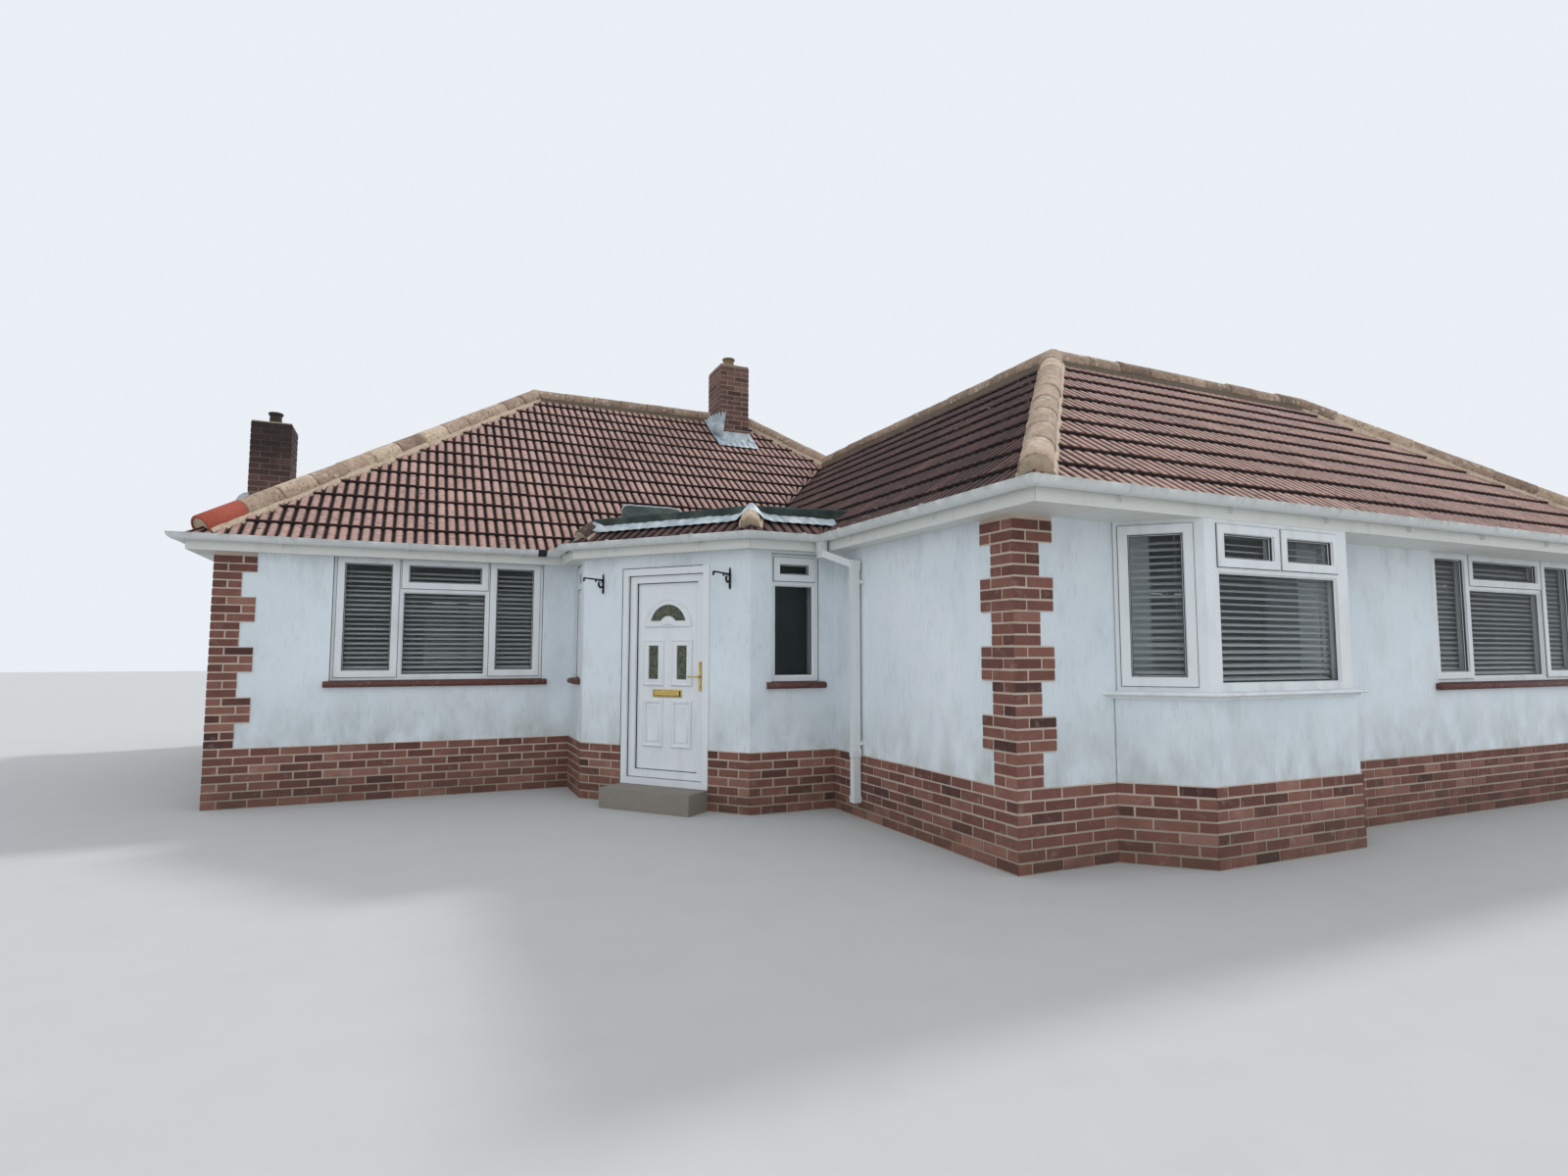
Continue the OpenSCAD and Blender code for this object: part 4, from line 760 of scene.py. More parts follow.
# Tiles are half circles, a little smaller at their ends; the bed is one with its sides let down to the slopes
def layRidge(tileForm, bedForm, first, last, i, j, seed, radius=None, foot=None, skip=0, shade=0.62):
    own = np.random.default_rng(seed)
    radius = radius or ridges["radius"]
    *line, length = runFrame(first, last, i, foot or ridges["foot"])
    start, u, side, up = line
    steep = abs(u[2]) > 0.1
    count = max(1, round(length / ridges["length"]))
    span = length / count
    turn = halfRound(-ridges["edge"], 180 + ridges["edge"], 19)
    # each tile: two rounded ends and a body between, as rows along the run
    part = np.array([0.0, 0.0, 0.012, 0.06, 0.5, 0.94, 0.988, 1.0, 1.0])
    shrink = np.array([0.02, 0.007, 0.001, 0, 0, 0, 0.001, 0.007, 0.02])
    index = np.arange(skip, count)
    at = (index[:, None] + part) * span + ridges["gap"] * (0.5 - part)
    wobble = radius + own.normal(0, 0.0016, (len(index), 1)) - shrink - 0.004 * (part - 0.5)
    lean = own.normal(0, 0.0035, (len(index), 1)) * np.ones(len(part))
    lift = own.normal(0, 0.0022, (len(index), 1)) * np.ones(len(part))
    # each run's tiles centre on its given tone; the level ridges sit 0.2 darker, a painted shade
    tones = np.clip(own.normal(shade - 0.2 * (not steep), 0.12, len(index)), 0, 1)
    for n in range(len(index)):
        rough = 1 + 0.012 * waves(at[n][:, None] + turn * 0.3, seed + n, 0.11, 0.23)
        out = wobble[n][:, None] * rough * np.cos(turn) + lean[n][:, None]
        rise = wobble[n][:, None] * rough * np.sin(turn) + lift[n][:, None]
        shadow = np.broadcast_to(np.sin(turn) * 0.5 + 0.5, out.shape)
        tileForm.sheet(placed(offAxis(line, at[n], out, rise)), tones[n], shadow)
    # the bed: a rougher body under the tiles, its sides let down on to both slopes
    along = np.linspace(0, length, int(length / 0.03) + 2)
    rough = 0.0045 * waves(along, seed + 50, 0.07, 0.19, 0.43) + own.normal(0, 0.0012, len(along))
    bed = np.full(len(along), radius - ridges["thin"])
    arch = halfRound(0, 180, 11)
    out, rise = [bed * np.cos(a) for a in arch], [bed * np.sin(a) for a in arch]
    outs, rises = [], []
    # "side" points to one of the two slopes; the first one is where the ground falls away on that side
    right, left = (i, j) if roofPlane(i)[:2] @ side[:2] < roofPlane(j)[:2] @ side[:2] else (j, i)
    for plane, sign in ((right, 1), (left, -1)):
        reach = radius + (0.010 if steep else 0.003) + rough * 1.4
        wide, narrow = sign * (reach + 0.012), sign * reach
        outs.append([wide, narrow])
        rises.append([slopeBeside(plane, side, up, wide, -0.044),
                      slopeBeside(plane, side, up, narrow, 0.006) + rough * 0.6])
    out = np.stack(outs[0] + out + outs[1][::-1], -1)
    rise = np.stack(rises[0] + rise + rises[1][::-1], -1)
    points = offAxis(line, along, out, rise)
    points = np.concatenate([np.broadcast_to(start + 0.02 * u, points[:1].shape), points])
    # the level ridges' bed takes the dark tone, a painted shade under their tiles; the hips' bed takes the pale
    # one
    bedForm.sheet(placed(points), 0.9 if steep else 0.1, 0.5)
    return line, span


# A low dome of mortar where runs meet: half an ellipsoid
def addDome(form, centre, radius, height, seed):
    turn, tilt = np.meshgrid(np.linspace(0, 2 * np.pi, 21)[:-1], np.linspace(0, np.pi / 2, 7), indexing="ij")
    size = 1 + 0.03 * waves(turn + tilt, seed, 1.3, 2.9)
    flat = radius * size * np.cos(tilt)
    points = np.stack([flat * np.cos(turn), flat * np.sin(turn), height * size * np.sin(tilt)], -1)
    form.sheet(placed(points + centre), 0.6, 0.6, closedRows=True, flip=True)


capForm, bedForm, newForm = Form(), Form(), Form()
for number, run in enumerate(ridges["runs"]):
    skip = 1 if run[0] == "eave6" else 0
    line, span = layRidge(capForm, bedForm, *run, 300 + number * 20, skip=skip)
    if skip:  # the lowest tile of the left front hip is a newer red one
        turn = halfRound(-ridges["edge"], 180 + ridges["edge"], 19)
        at = np.array([-0.012, -0.012, 0.0, 0.2, span - 0.006, span])
        size = (ridges["radius"] + np.array([-0.02, -0.004, 0.004, 0.003, 0.002, -0.01]))[:, None]
        points = offAxis(line, at, size * np.cos(turn), size * np.sin(turn) + 0.004)
        newForm.sheet(placed(points), 0.62, 0.9)
for number, run in enumerate(ridges["porch"]):
    shade = ridges["porchShades"][number]
    layRidge(capForm, bedForm, *run, 700 + number * 20, ridges["porchRadius"], ridges["porchFoot"], shade=shade)
for number, (name, i) in enumerate(ridges["meetings"].items()):
    centre = np.array([*roof[name], heightOn(roofPlane(i), roof[name]) - house["ridgeDrop"]])
    addDome(capForm, centre, ridges["radius"] + 0.004, ridges["radius"] + 0.003, 500 + number)
makePiece("ridgeCaps", capForm, "ridge", replaced=("ridge_tiles",), sharp=50)
makePiece("ridgeBedding", bedForm, "bedding", sharp=60)
makePiece("newHipTile", newForm, "newClay", sharp=50)

# Bricks: each face a plate a few millimetres proud of its mortar
bricks = {
    "course": 0.075,
    "pitch": 0.225,
    "joint": 0.012,
    "height": 0.063,
    "stretcher": 0.213,
    "header": 0.1015,
    "proud": 0.0045,
    "bevel": 0.0018,
    "quoins": [0, 1, 2, 4, 5, 6],
    "plinthCourses": 7,
    "gaps": {porchDoor: [(0.475, 1.430)], mainLeft: [(2.574, 3.124)], wingFront: [(0.834, 3.190)]},
    "leftStack": {"x": (-5.420, -4.980), "y": (7.790, 8.340), "z": (2.10, 3.750)},
    "breast": {"x": (-5.540, -5.108), "y": (7.790, 8.340), "z": (-0.525, 2.650)},
    "rightStack": {"x": (0.606, 1.046), "y": (7.170, 7.720), "z": (3.825, 5.190)},
}


# Edges of the bricks of one course between two ends: a first brick, whole ones fitted between, a last brick
def bond(s0, s1, even):
    b = bricks
    first = b["stretcher"] if even else b["header"]
    last = b["header"] if even else b["stretcher"]
    room = s1 - s0 - first - last - 2 * b["joint"]
    if room < 0.16:  # two stretchers, or a stretcher between two headers
        half, j = (s0 + s1) / 2, b["joint"]
        if even:
            return np.array([[s0, half - j / 2], [half + j / 2, s1]])
        left, right = s0 + b["header"], s1 - b["header"]
        return np.array([[s0, left], [left + j, right - j], [right, s1]])
    count = max(1, round((room + b["joint"]) / b["pitch"]))
    step = (room + b["joint"]) / count
    left = s0 + first + b["joint"] + step * np.arange(count)
    inner = np.stack([left, left + step - b["joint"]], -1)
    return np.concatenate([[[s0, s0 + first]], inner, [[s1 - last, s1]]])


# Plates for bricks given as rows of [s0, s1, z0, z1, 1 where the left end is a corner, the same for the right]
def addBricks(form, place, rows, own, spread=0.16):
    rows = np.asarray(rows, float).reshape(-1, 6)
    s0, s1, z0, z1, left, right = rows.T
    n = len(rows)
    proud = bricks["proud"] + own.normal(0, 0.0007, n).clip(-0.0016, 0.0016)
    bevel = bricks["bevel"]
    tone = np.clip(own.normal(0.5, spread, n), 0.02, 0.98)
    jitter = own.normal(0, 0.0009, (4, n))
    s0, s1 = s0 + jitter[0] * (1 - left), s1 + jitter[1] * (1 - right)
    z0, z1 = z0 + jitter[2], z1 + jitter[3]
    fs0 = s0 + np.where(left == 1, -proud, bevel)
    fs1 = s1 + np.where(right == 1, proud, -bevel)
    s = np.stack([s0, s1, s1, s0, fs0, fs1, fs1, fs0], -1)
    y = np.stack([np.full(n, 0.004)] * 4 + [-proud] * 4, -1)
    z = np.stack([z0, z0, z1, z1, z0 + bevel, z0 + bevel, z1 - bevel, z1 - bevel], -1)
    quads = np.array([[4, 5, 6, 7], [0, 1, 5, 4], [1, 2, 6, 5], [2, 3, 7, 6], [3, 0, 4, 7]])
    faces = (quads[None] + 8 * np.arange(n)[:, None, None]).reshape(-1, 4)
    form.add(place(s, y, z), faces, np.repeat(tone, 5))


def onLoop(i, loop=walls):
    return lambda s, y, z: onWall(i, s, y, z, loop)


def courseRows(s0, s1, z0, courses, firstCourse=0, leftCorner=0, rightCorner=0):
    rows = []
    for k in range(courses):
        cut = bond(s0, s1, (k + firstCourse) % 2 == 0)
        low = z0 + k * bricks["course"] + bricks["joint"] / 2
        marks = np.zeros((len(cut), 2))
        marks[0, 0], marks[-1, 1] = leftCorner, rightCorner
        heights = np.full((len(cut), 2), [low, low + bricks["height"]])
        rows.append(np.column_stack([cut, heights, marks]))
    return np.concatenate(rows)


def brickWalls():
    b, own, form = bricks, np.random.default_rng(61), Form()
    convex = [np.cross(direction(walls, i - 1), direction(walls, i)) > 0 for i in range(len(walls))]
    plinth = []
    for i in range(len(walls)):
        length = wallLength(walls, i)
        stops = [0.0] + [s for pair in b["gaps"].get(i, []) for s in pair] + [length]
        for a, c in zip(stops[::2], stops[1::2]):
            corners = a == 0 and convex[i], c == length and convex[(i + 1) % len(walls)]
            plinth.append((onLoop(i), a, c, *corners))
    plinth += [(onLoop(i, bay), 0, wallLength(bay, i), i > 0, i < 2) for i in range(3)]
    for place, a, c, *corners in plinth:
        addBricks(form, place, courseRows(a, c, -house["plinth"], b["plinthCourses"], 1, *corners), own)
    courses = round(house["soffitZ"] / b["course"])
    for i in b["quoins"]:
        rows = [[], []]
        for k in range(courses):
            wide = (k // 3) % 2 == 1
            low = k * b["course"] + b["joint"] / 2
            high = min(low + b["height"], house["soffitZ"] - 0.002)
            for face in (0, 1):  # the wall that starts at the corner, then the one that ends there
                whole = (k + face) % 2 == 0
                cuts = [b["stretcher"]] if whole else [b["header"], b["header"]]
                if wide:
                    cuts = [b["stretcher"], b["header"]] if whole else [b["header"], b["stretcher"]]
                at = 0.0
                for n, size in enumerate(cuts):
                    rows[face].append([at, at + size, low, high, float(n == 0), 0.0])
                    at += size + b["joint"]
        addBricks(form, onLoop(i), rows[0], own)
        before = (i - 1) % len(walls)
        length = wallLength(walls, before)
        left, right, low, high, leftCorner, rightCorner = np.array(rows[1]).T
        turned = np.column_stack([length - right, length - left, low, high, rightCorner, leftCorner])
        addBricks(form, onLoop(before), turned, own)
    return form


# The four faces of a chimney, laid as a loop of walls round it
def stackLoop(block):
    (x0, x1), (y0, y1) = block["x"], block["y"]
    return np.array([(x0, y0), (x1, y0), (x1, y1), (x0, y1)], float)


def brickStacks():
    b, own, form = bricks, np.random.default_rng(67), Form()
    for name in ("leftStack", "breast", "rightStack"):
        loop = stackLoop(b[name])
        base = -house["plinth"] if name != "rightStack" else 0.0
        z0, z1 = b[name]["z"]
        first = math.floor((z0 - base) / b["course"])
        count = math.floor((z1 - base) / b["course"] + 1e-6) - first
        joined = name == "breast"  # its right face lies in the wall
        for i in (0, 2, 3) if joined else range(4):
            corners = not (joined and i == 2), not (joined and i == 0)
            rows = courseRows(0, wallLength(loop, i), base + first * b["course"], count, first, *corners)
            addBricks(form, onLoop(i, loop), rows, own, 0.13)
    return form


makePiece("wallBricks", brickWalls(), "brick", sharp=20)
makePiece("chimneyBricks", brickStacks(), "sootBrick", sharp=20)

# Two-light windows on the sides that the picture doesn't show: the wall, and where each one starts
rearWindows = ((mainBack, 1.5), (mainBack, 6.5), (courtyard, 2.8), (wingBack, 1.3), (wingEnd, 1.47),
               (mainLeft, 4.1))

# Windows: beads and seals round each pane, and a dark line round each opening light, partly its gasket and
# partly a painted shadow of the sash's edge. Openings are given as wall, start, width, bottom, top and columns
# [left, right, transom, lower opens, upper opens]
windows = {
    "faceY": 0.044,
    "bayFaceY": 0.024,
    "face": 0.045,
    "mullion": 0.045,
    "sashIn": 0.046,
    "lap": 0.012,
    "proud": 0.014,
    "glass": 0.022,
    "openings": [
        (mainFront, 0.933, 1.915, 0.585, 1.795,
         [(0, 0.575, 0, 1, 0), (0.575, 1.385, 0.877, 0, 1), (1.385, 1.915, 0, 1, 0)]),
        (wingFront, 4.630, 2.490, 0.600, 1.795,
         [(0, 0.620, 0, 1, 0), (0.620, 1.870, 0.862, 0, 1), (1.870, 2.490, 0, 1, 0)]),
        (porchRight, 0.204, 0.475, 0.600, 1.735, [(0, 0.475, 0.880, 0, 1)]),
        (porchLeft, 0.170, 0.350, 0.600, 1.735, [(0, 0.350, 0.880, 0, 1)]),
        *((i, s, 1.200, 0.600, 1.795, [(0, 0.600, 0, 1, 0), (0.600, 1.200, 0.862, 0, 1)])
          for i, s in rearWindows)],
    "bayLights": [(0, 0.066, -0.088, 0.649, 1.706, 1), (1, 0.138, -0.138, 0.649, 1.3975, 0),
                  (1, 0.138, 0.7365, 1.4425, 1.706, 1), (1, 0.7815, -0.138, 1.4425, 1.706, 1),
                  (2, 0.088, -0.066, 0.649, 1.706, 1)],
}


# Each light of an opening as [left, right, bottom, top, opens], in the wall's own lines
def lightsOf(opening):
    w, (_, s, width, z0, z1, columns) = windows, opening
    half, low, high = w["mullion"] / 2, z0 + w["face"], z1 - w["face"]
    found = []
    for left, right, transom, lower, upper in columns:
        a = s + (w["face"] if left == 0 else left + half)
        b = s + (right - w["face"] if right == width else right - half)
        if transom:
            found += [(a, b, low, z0 + transom - half, lower), (a, b, z0 + transom + half, high, upper)]
        else:
            found.append((a, b, low, high, lower))
    return found


def dressWindows():
    w, beads, sealsAndShadows = windows, Form(), Form()
    panes = [(onLoop(o[0]), w["faceY"], light) for o in w["openings"] for light in lightsOf(o)]
    for face, a, b, z0, z1, opens in w["bayLights"]:
        end = b if b > 0 else wallLength(bay, face) + b
        panes.append((onLoop(face, bay), w["bayFaceY"], (a, end, z0, z1, opens)))
    for place, faceY, (a, b, z0, z1, opens) in panes:
        front, pane, inset = faceY - w["proud"] * opens, faceY + w["glass"], w["sashIn"] * opens
        hole = (a + inset, b - inset, z0 + inset, z1 - inset)
        addRing(beads, place, *hole, (-0.001, front + 0.0035, pane), (0.009, pane - 0.010, pane))
        addRing(beads, place, *hole, (0.009, pane - 0.010, pane), (0.0135, pane - 0.0035, pane))
        addRing(sealsAndShadows, place, *hole, (0.012, pane - 0.0042, pane), (0.0175, pane - 0.0012, pane))
        if opens:
            whole, lap = (place, a, b, z0, z1), w["lap"]
            # a dark ring on the frame's face round the sash: partly its gasket, partly a painted shadow of the
            # sash's edge
            line, back = faceY - 0.0034, faceY + 0.001
            addRing(sealsAndShadows, *whole, (-lap - 0.0042, line, back), (-lap + 0.001, line, back))
            line, back = front + 0.004, front + 0.006
            addRing(beads, *whole, (-lap - 0.0005, line, back), (-lap + 0.0045, front - 0.0008, back))
    y, back = w["faceY"], w["faceY"] + 0.001
    for i, s, width, z0, z1, _ in w["openings"]:
        addRing(sealsAndShadows, onLoop(i), s, s + width, z0, z1, (-0.0005, y - 0.003, back), (0.0045, y - 0.0015, back))
    makePiece("glazingBeads", beads, "plastic", sharp=30)
    makePiece("glazingSeals", sealsAndShadows, "seal", sharp=30)


dressWindows()

# Venetian blinds: curved slats on cords between a head rail and a bottom rail
blinds = {
    "pitch": 0.046,
    "slat": 0.048,
    "tilt": math.radians(27),
    "closed": math.radians(74),
    "arch": 0.0030,
    "thin": 0.0008,
    "depth": 0.030,
    "clear": 0.004,
    "rails": 0.035,
    "head": (0.013, 0.030),  # half its depth, and its height
    "foot": 0.012,
    "cords": {"in": 0.09, "apart": 0.5, "half": 0.001, "front": 0.0145, "back": 0.0130},
    "boxes": [(mainFront, walls, 0.978, 2.803, 0.630, 1.750, 0.126),
              (wingFront, walls, 4.675, 7.075, 0.645, 1.750, 0.126),
              (0, bay, 0.130, -0.088, 0.649, 1.706, 0.106), (1, bay, 0.138, -0.138, 0.649, 1.706, 0.106),
              (2, bay, 0.088, -0.130, 0.649, 1.706, 0.106)],
    "rear": [(i, walls, s + 0.045, s + 1.155, 0.645, 1.750, 0.126) for i, s in rearWindows],
}


def hangBlinds(name, boxes, tiltAll, seed, replaced=()):
    b, own, form = blinds, np.random.default_rng(seed), Form()
    across, crown = np.array([-0.5, -0.2, 0.2, 0.5]), b["arch"] * np.array([0, 1, 1, 0])
    section = np.concatenate([np.stack([across, crown], -1), np.stack([across, crown - b["thin"]], -1)[::-1]])
    wide, arched = section[:, 0] * b["slat"], section[:, 1]
    for i, loop, s0, s1, z0, z1, y0 in boxes:
        s1 = s1 if s1 > 0 else wallLength(loop, i) + s1
        s0, s1 = s0 + b["clear"], s1 - b["clear"]
        place, middle = onLoop(i, loop), y0 + b["depth"] / 2
        count = int((z1 - z0 - 2 * b["rails"]) / b["pitch"])
        z = z0 + b["rails"] + b["pitch"] * np.arange(count)
        tilt = tiltAll + own.normal(0, 0.05, count)
        sag = own.normal(0, 0.0012, (count, 2))
        for n in range(count):
            c, d = math.cos(tilt[n]), math.sin(tilt[n])
            y, up = middle + wide * c - arched * d, z[n] + wide * d + arched * c
            s = np.array([s0, s1])[:, None] * np.ones(8)
            slat = place(s, np.broadcast_to(y, s.shape), up + sag[n][:, None])
            form.sheet(slat, own.uniform(0, 1), closedColumns=True)
        (half, high), foot = b["head"], b["foot"]
        addBoxes(form, place, s0, s1, middle - half, middle + half, z1 - high, z1, 0.8)
        addBoxes(form, place, s0, s1, middle - foot, middle + foot, z0, z0 + foot, 0.8)
        c = b["cords"]
        cords = np.linspace(s0 + c["in"], s1 - c["in"], max(2, round((s1 - s0) / c["apart"])))
        y0, y1 = middle - c["front"], middle - c["back"]
        addBoxes(form, place, cords - c["half"], cords + c["half"], y0, y1, z0, z1, 1.0)
    makePiece(name, form, "blind", replaced=replaced, sharp=50)


hangBlinds("venetianBlinds", blinds["boxes"], blinds["tilt"], 73, ("window_blinds",))
hangBlinds("rearBlinds", blinds["rear"], blinds["closed"], 79)

# Sills: tiles with a round nose under the windows, and the bay's own plastic sill
sills = {
    "horn": 0.045,
    "nose": [(0.044, 0.0), (-0.020, -0.003), (-0.034, -0.009), (-0.043, -0.020), (-0.046, -0.034),
             (-0.041, -0.048), (-0.029, -0.057), (-0.012, -0.059), (0.008, -0.058), (0.044, -0.058)],
    "bayNose": [(0.030, 0.604), (-0.048, 0.6015), (-0.056, 0.598), (-0.060, 0.590), (-0.0585, 0.581),
                (-0.052, 0.576), (-0.040, 0.575), (-0.022, 0.577), (-0.016, 0.569), (-0.014, 0.552),
                (0.030, 0.552)],
}


def laySills():
    form, white = Form(), Form()
    y, z = np.array(sills["nose"]).T
    shrink = np.array([1.0, 0.06, 0.0, 0.0, 0.06, 1.0])[:, None]  # the section closes at both ends
    for i, s, width, low, *_ in windows["openings"]:
        a, b = s - sills["horn"], s + width + sills["horn"]
        along = np.array([a, a, a + 0.002, b - 0.002, b, b])[:, None]
        across, up = y + shrink * (y.mean() - y), low + z + shrink * (z.mean() - z)
        form.sheet(onWall(i, along, across, up), closedColumns=True)
    wallLine = lineBeside(wingFront, -0.02)
    n = [outward(bay, i) for i in range(3)]
    rows = []
    for inside, level in sills["bayNose"]:  # the section's points carried round the bay, mitred at its corners
        around = [np.array([*n[i], -(n[i] @ bay[i] - inside)]) for i in range(3)]
        chain = [wallLine, *around, wallLine]
        rows.append([[*meetLines(chain[k], chain[k + 1]), level] for k in range(4)])
    white.sheet(placed(np.array(rows)), closedRows=True, flip=True)
    makePiece("sillTiles", form, "sill", replaced=("window_sills",), sharp=50)
    makePiece("baySillNose", white, "plastic", replaced=("bay_sill",), sharp=40)


laySills()

# Gutter fittings: straps from the fascia, unions between lengths, angles at the corners
gutter = {
    "centre": 0.062,
    "z": 1.885,
    "radius": 0.058,
    "inner": 0.0545,
    "strapGap": 1.02,
    "strap": 0.015,
    # boxes of a strap: half width, far and near distance out from the fascia, bottom and top
    "strapParts": [(0.015, 0.006, 0, 1.790, 1.892), (0.004, 0.030, 0, 1.792, 1.850),
                   (0.015, 0.1235, 0.108, 1.885, 1.893)],
    "angle": (0.075, 0.0035),  # how far it reaches along each side, and its thickness
    "union": {"half": 0.0425, "thick": 0.0045, "rib": 0.034, "ribHalf": 0.006, "ribThick": 0.0068},
    "unions": [(mainFront, 2.06), (porchDoor, 1.32), (link, 0.42), (wingFront, 3.9), (mainBack, 3.4),
               (mainBack, 6.6), (courtyard, 3.5), (wingEnd, 2.0)],
    "darkUnion": (mainFront, 2.80),
    "breast": (2.562, 3.136),
    "pipes": [(link, 0.460, 0.190), (mainBack, 0.450, 0.450), (wingEnd, 3.700, 3.700),
              (mainBack, 9.038, 9.038)],
    "pipe": {"y": -0.0445, "socket": 0.0365, "collar": 0.0385, "outlet": (1.735, 1.826),
             "joints": ((1.560, 1.646), (-0.02, 0.05), (-0.395, -0.345)),
             "clips": (0.084, 1.444), "clipHalf": 0.036, "clipHigh": 0.030},
}


# Half-round section of a sleeve outside the gutter, as distances out from the fascia and heights
def sleeveSection(thick, rim=0.0):
    g, turn = gutter, halfRound(180, 360, 15)
    outer, inner, back = g["radius"] + thick, g["inner"], turn[::-1]
    edge = rim * (np.abs(np.cos(turn)) > 0.99)
    out = np.concatenate([g["centre"] + outer * np.cos(turn), g["centre"] + inner * np.cos(back)])
    up = np.concatenate([g["z"] + outer * np.sin(turn) + edge, g["z"] + inner * np.sin(back)])
    return out, up


def addSleeve(form, i, s0, s1, thick, rim=0.0):
    full = thick * 0.7
    rows = []
    for s, grown in ((s0, 0.0), (s0, full), (s0 + 0.003, thick), (s1 - 0.003, thick), (s1, full), (s1, 0.0)):
        out, up = sleeveSection(grown, rim)
        rows.append(onWall(i, s, -(house["overhang"][i] + out), up))
    form.sheet(np.array(rows), 0.5, closedColumns=True)


def addUnion(form, i, s, ribbed=True):
    u = gutter["union"]
    addSleeve(form, i, s - u["half"], s + u["half"], u["thick"], 0.003)
    for at in (s - u["rib"], s + u["rib"]) if ribbed else ():
        addSleeve(form, i, at - u["ribHalf"], at + u["ribHalf"], u["ribThick"], 0.005)


# An angle: the same section carried to the mitre on both sides of a corner
def addAngle(form, i):
    (reach, thick), before, nearEave = gutter["angle"], (i - 1) % len(walls), eavePoint(i)
    mitre = eavePoint(i, 1) - nearEave
    centre = nearEave + gutter["centre"] * mitre
    rows = [(nearEave + out[:, None] * mitre, up) for out, up in map(sleeveSection, (0.0, thick))]
    sections = []
    for which, grown, away in ((before, 0, -reach), (before, 1, -reach), (None, 1, 0), (i, 1, reach),
                               (i, 0, reach)):
        flat, up = rows[grown]
        if which is not None:
            d = direction(walls, which)
            along = (centre - flat) @ d + away
            flat = flat + along[:, None] * d
        sections.append(placed(np.column_stack([flat, up])))
    form.sheet(np.array(sections), 0.5, closedColumns=True)


def fitGutters():
    g, plain, dark, pipes = gutter, Form(), Form(), Form()
    for i in range(len(walls)):
        length, over = wallLength(walls, i), house["overhang"][i]
        room = length + 0.2 * (over > 0.3)
        count = max(1, round(room / g["strapGap"]))
        for s in (np.arange(count) + 0.5) * length / count:
            if i == mainLeft and g["breast"][0] - 0.05 < s < g["breast"][1] + 0.05:
                s = g["breast"][1] + 0.08
            addSleeve(plain, i, s - g["strap"], s + g["strap"], 0.0040, 0.004)
            for half, far, near, low, high in g["strapParts"]:
                addBoxes(plain, onLoop(i), s - half, s + half, -over - far, -over - near, low, high)
        addAngle(plain, i)
    for i, s in g["unions"]:
        addUnion(plain, i, s)
    addUnion(dark, *g["darkUnion"], ribbed=False)
    makePiece("gutterFittings", plain, "gutter", sharp=40)
    makePiece("darkGutterUnion", dark, "seal", sharp=40)
    p = g["pipe"]
    y, half = p["y"], p["socket"]
    for i, s, outlet in g["pipes"]:
        place = onLoop(i)
        for low, high in p["joints"]:
            for grow, a, b in ((half, low, high), (p["collar"], high - 0.018, high - 0.004)):
                addBoxes(pipes, place, s - grow, s + grow, y - grow, y + grow, a, b)
        out = -house["overhang"][i] - g["radius"] - 0.004
        addBoxes(pipes, place, outlet - half, outlet + half, out - half, out + half, *p["outlet"])
        for z in p["clips"]:
            clip = (s - p["clipHalf"], s + p["clipHalf"], y - 0.0355, y - 0.0325)
            addBoxes(pipes, place, *clip, z, z + p["clipHigh"])
    makePiece("downpipeSockets", pipes, "gutter", sharp=40)


fitGutters()

# Lead: the flat roof's edge dressed over the tiles, and the flashings of the stacks
lead = {
    "across": [(0.030, -0.02), (0.022, 0.012), (0.008, 0.020), (-0.012, 0.018), (-0.034, 0.015),
               (-0.058, 0.013), (-0.084, 0.012)],
    "thick": 0.004,
    "step": 0.010,
    "humps": (0.046, 0.090),
    "humpReach": 0.082,
    "apron": {"x": (0.516, 1.136), "up": 0.11, "down": 0.215},
    "steps": {"apart": 0.094, "long": 0.090, "low": -0.02, "high": 0.155, "proud": (0.002, 0.0085),
              "strip": ((0.002, 0.03), (0.012, 0.004), (0.10, 0.003), (0.102, -0.008))},
    "weathering": {"over": 0.012, "past": 0.010},
    "fan": {"foot": (0.600, 7.150), "angles": (82, 128), "length": (0.43, 0.34), "folds": 7, "depth": 0.014},
}


# Points along the flat roof's front edge, with the way out at each, mitred at the two corners, its wall, and
# how far along it is
def deckEdge(first, last, step):
    corners = [first, roof["capLeft"], roof["capRight"], last]
    plan, normal, side, travel, gone = [], [], [], [], [0.0]
    for n, i in enumerate((porchLeft, porchDoor, porchRight)):
        p, q = corners[n], corners[n + 1]
        length = np.linalg.norm(q - p)
        t = np.linspace(0, 1, max(4, int(length / step)) + (n == 2), endpoint=n == 2)
        here = np.repeat(outward(walls, i)[None], len(t), 0)
        if n:
            mean = outward(walls, i - 1) + outward(walls, i)
            here[0] = 2 * mean / (mean @ mean)
        plan.append(p + t[:, None] * (q - p))
        normal.append(here)
        side += [i] * len(t)
        travel.append(gone[-1] + t * length)
        gone.append(gone[-1] + length)
    return np.concatenate(plan), np.concatenate(normal), np.array(side), np.concatenate(travel), gone


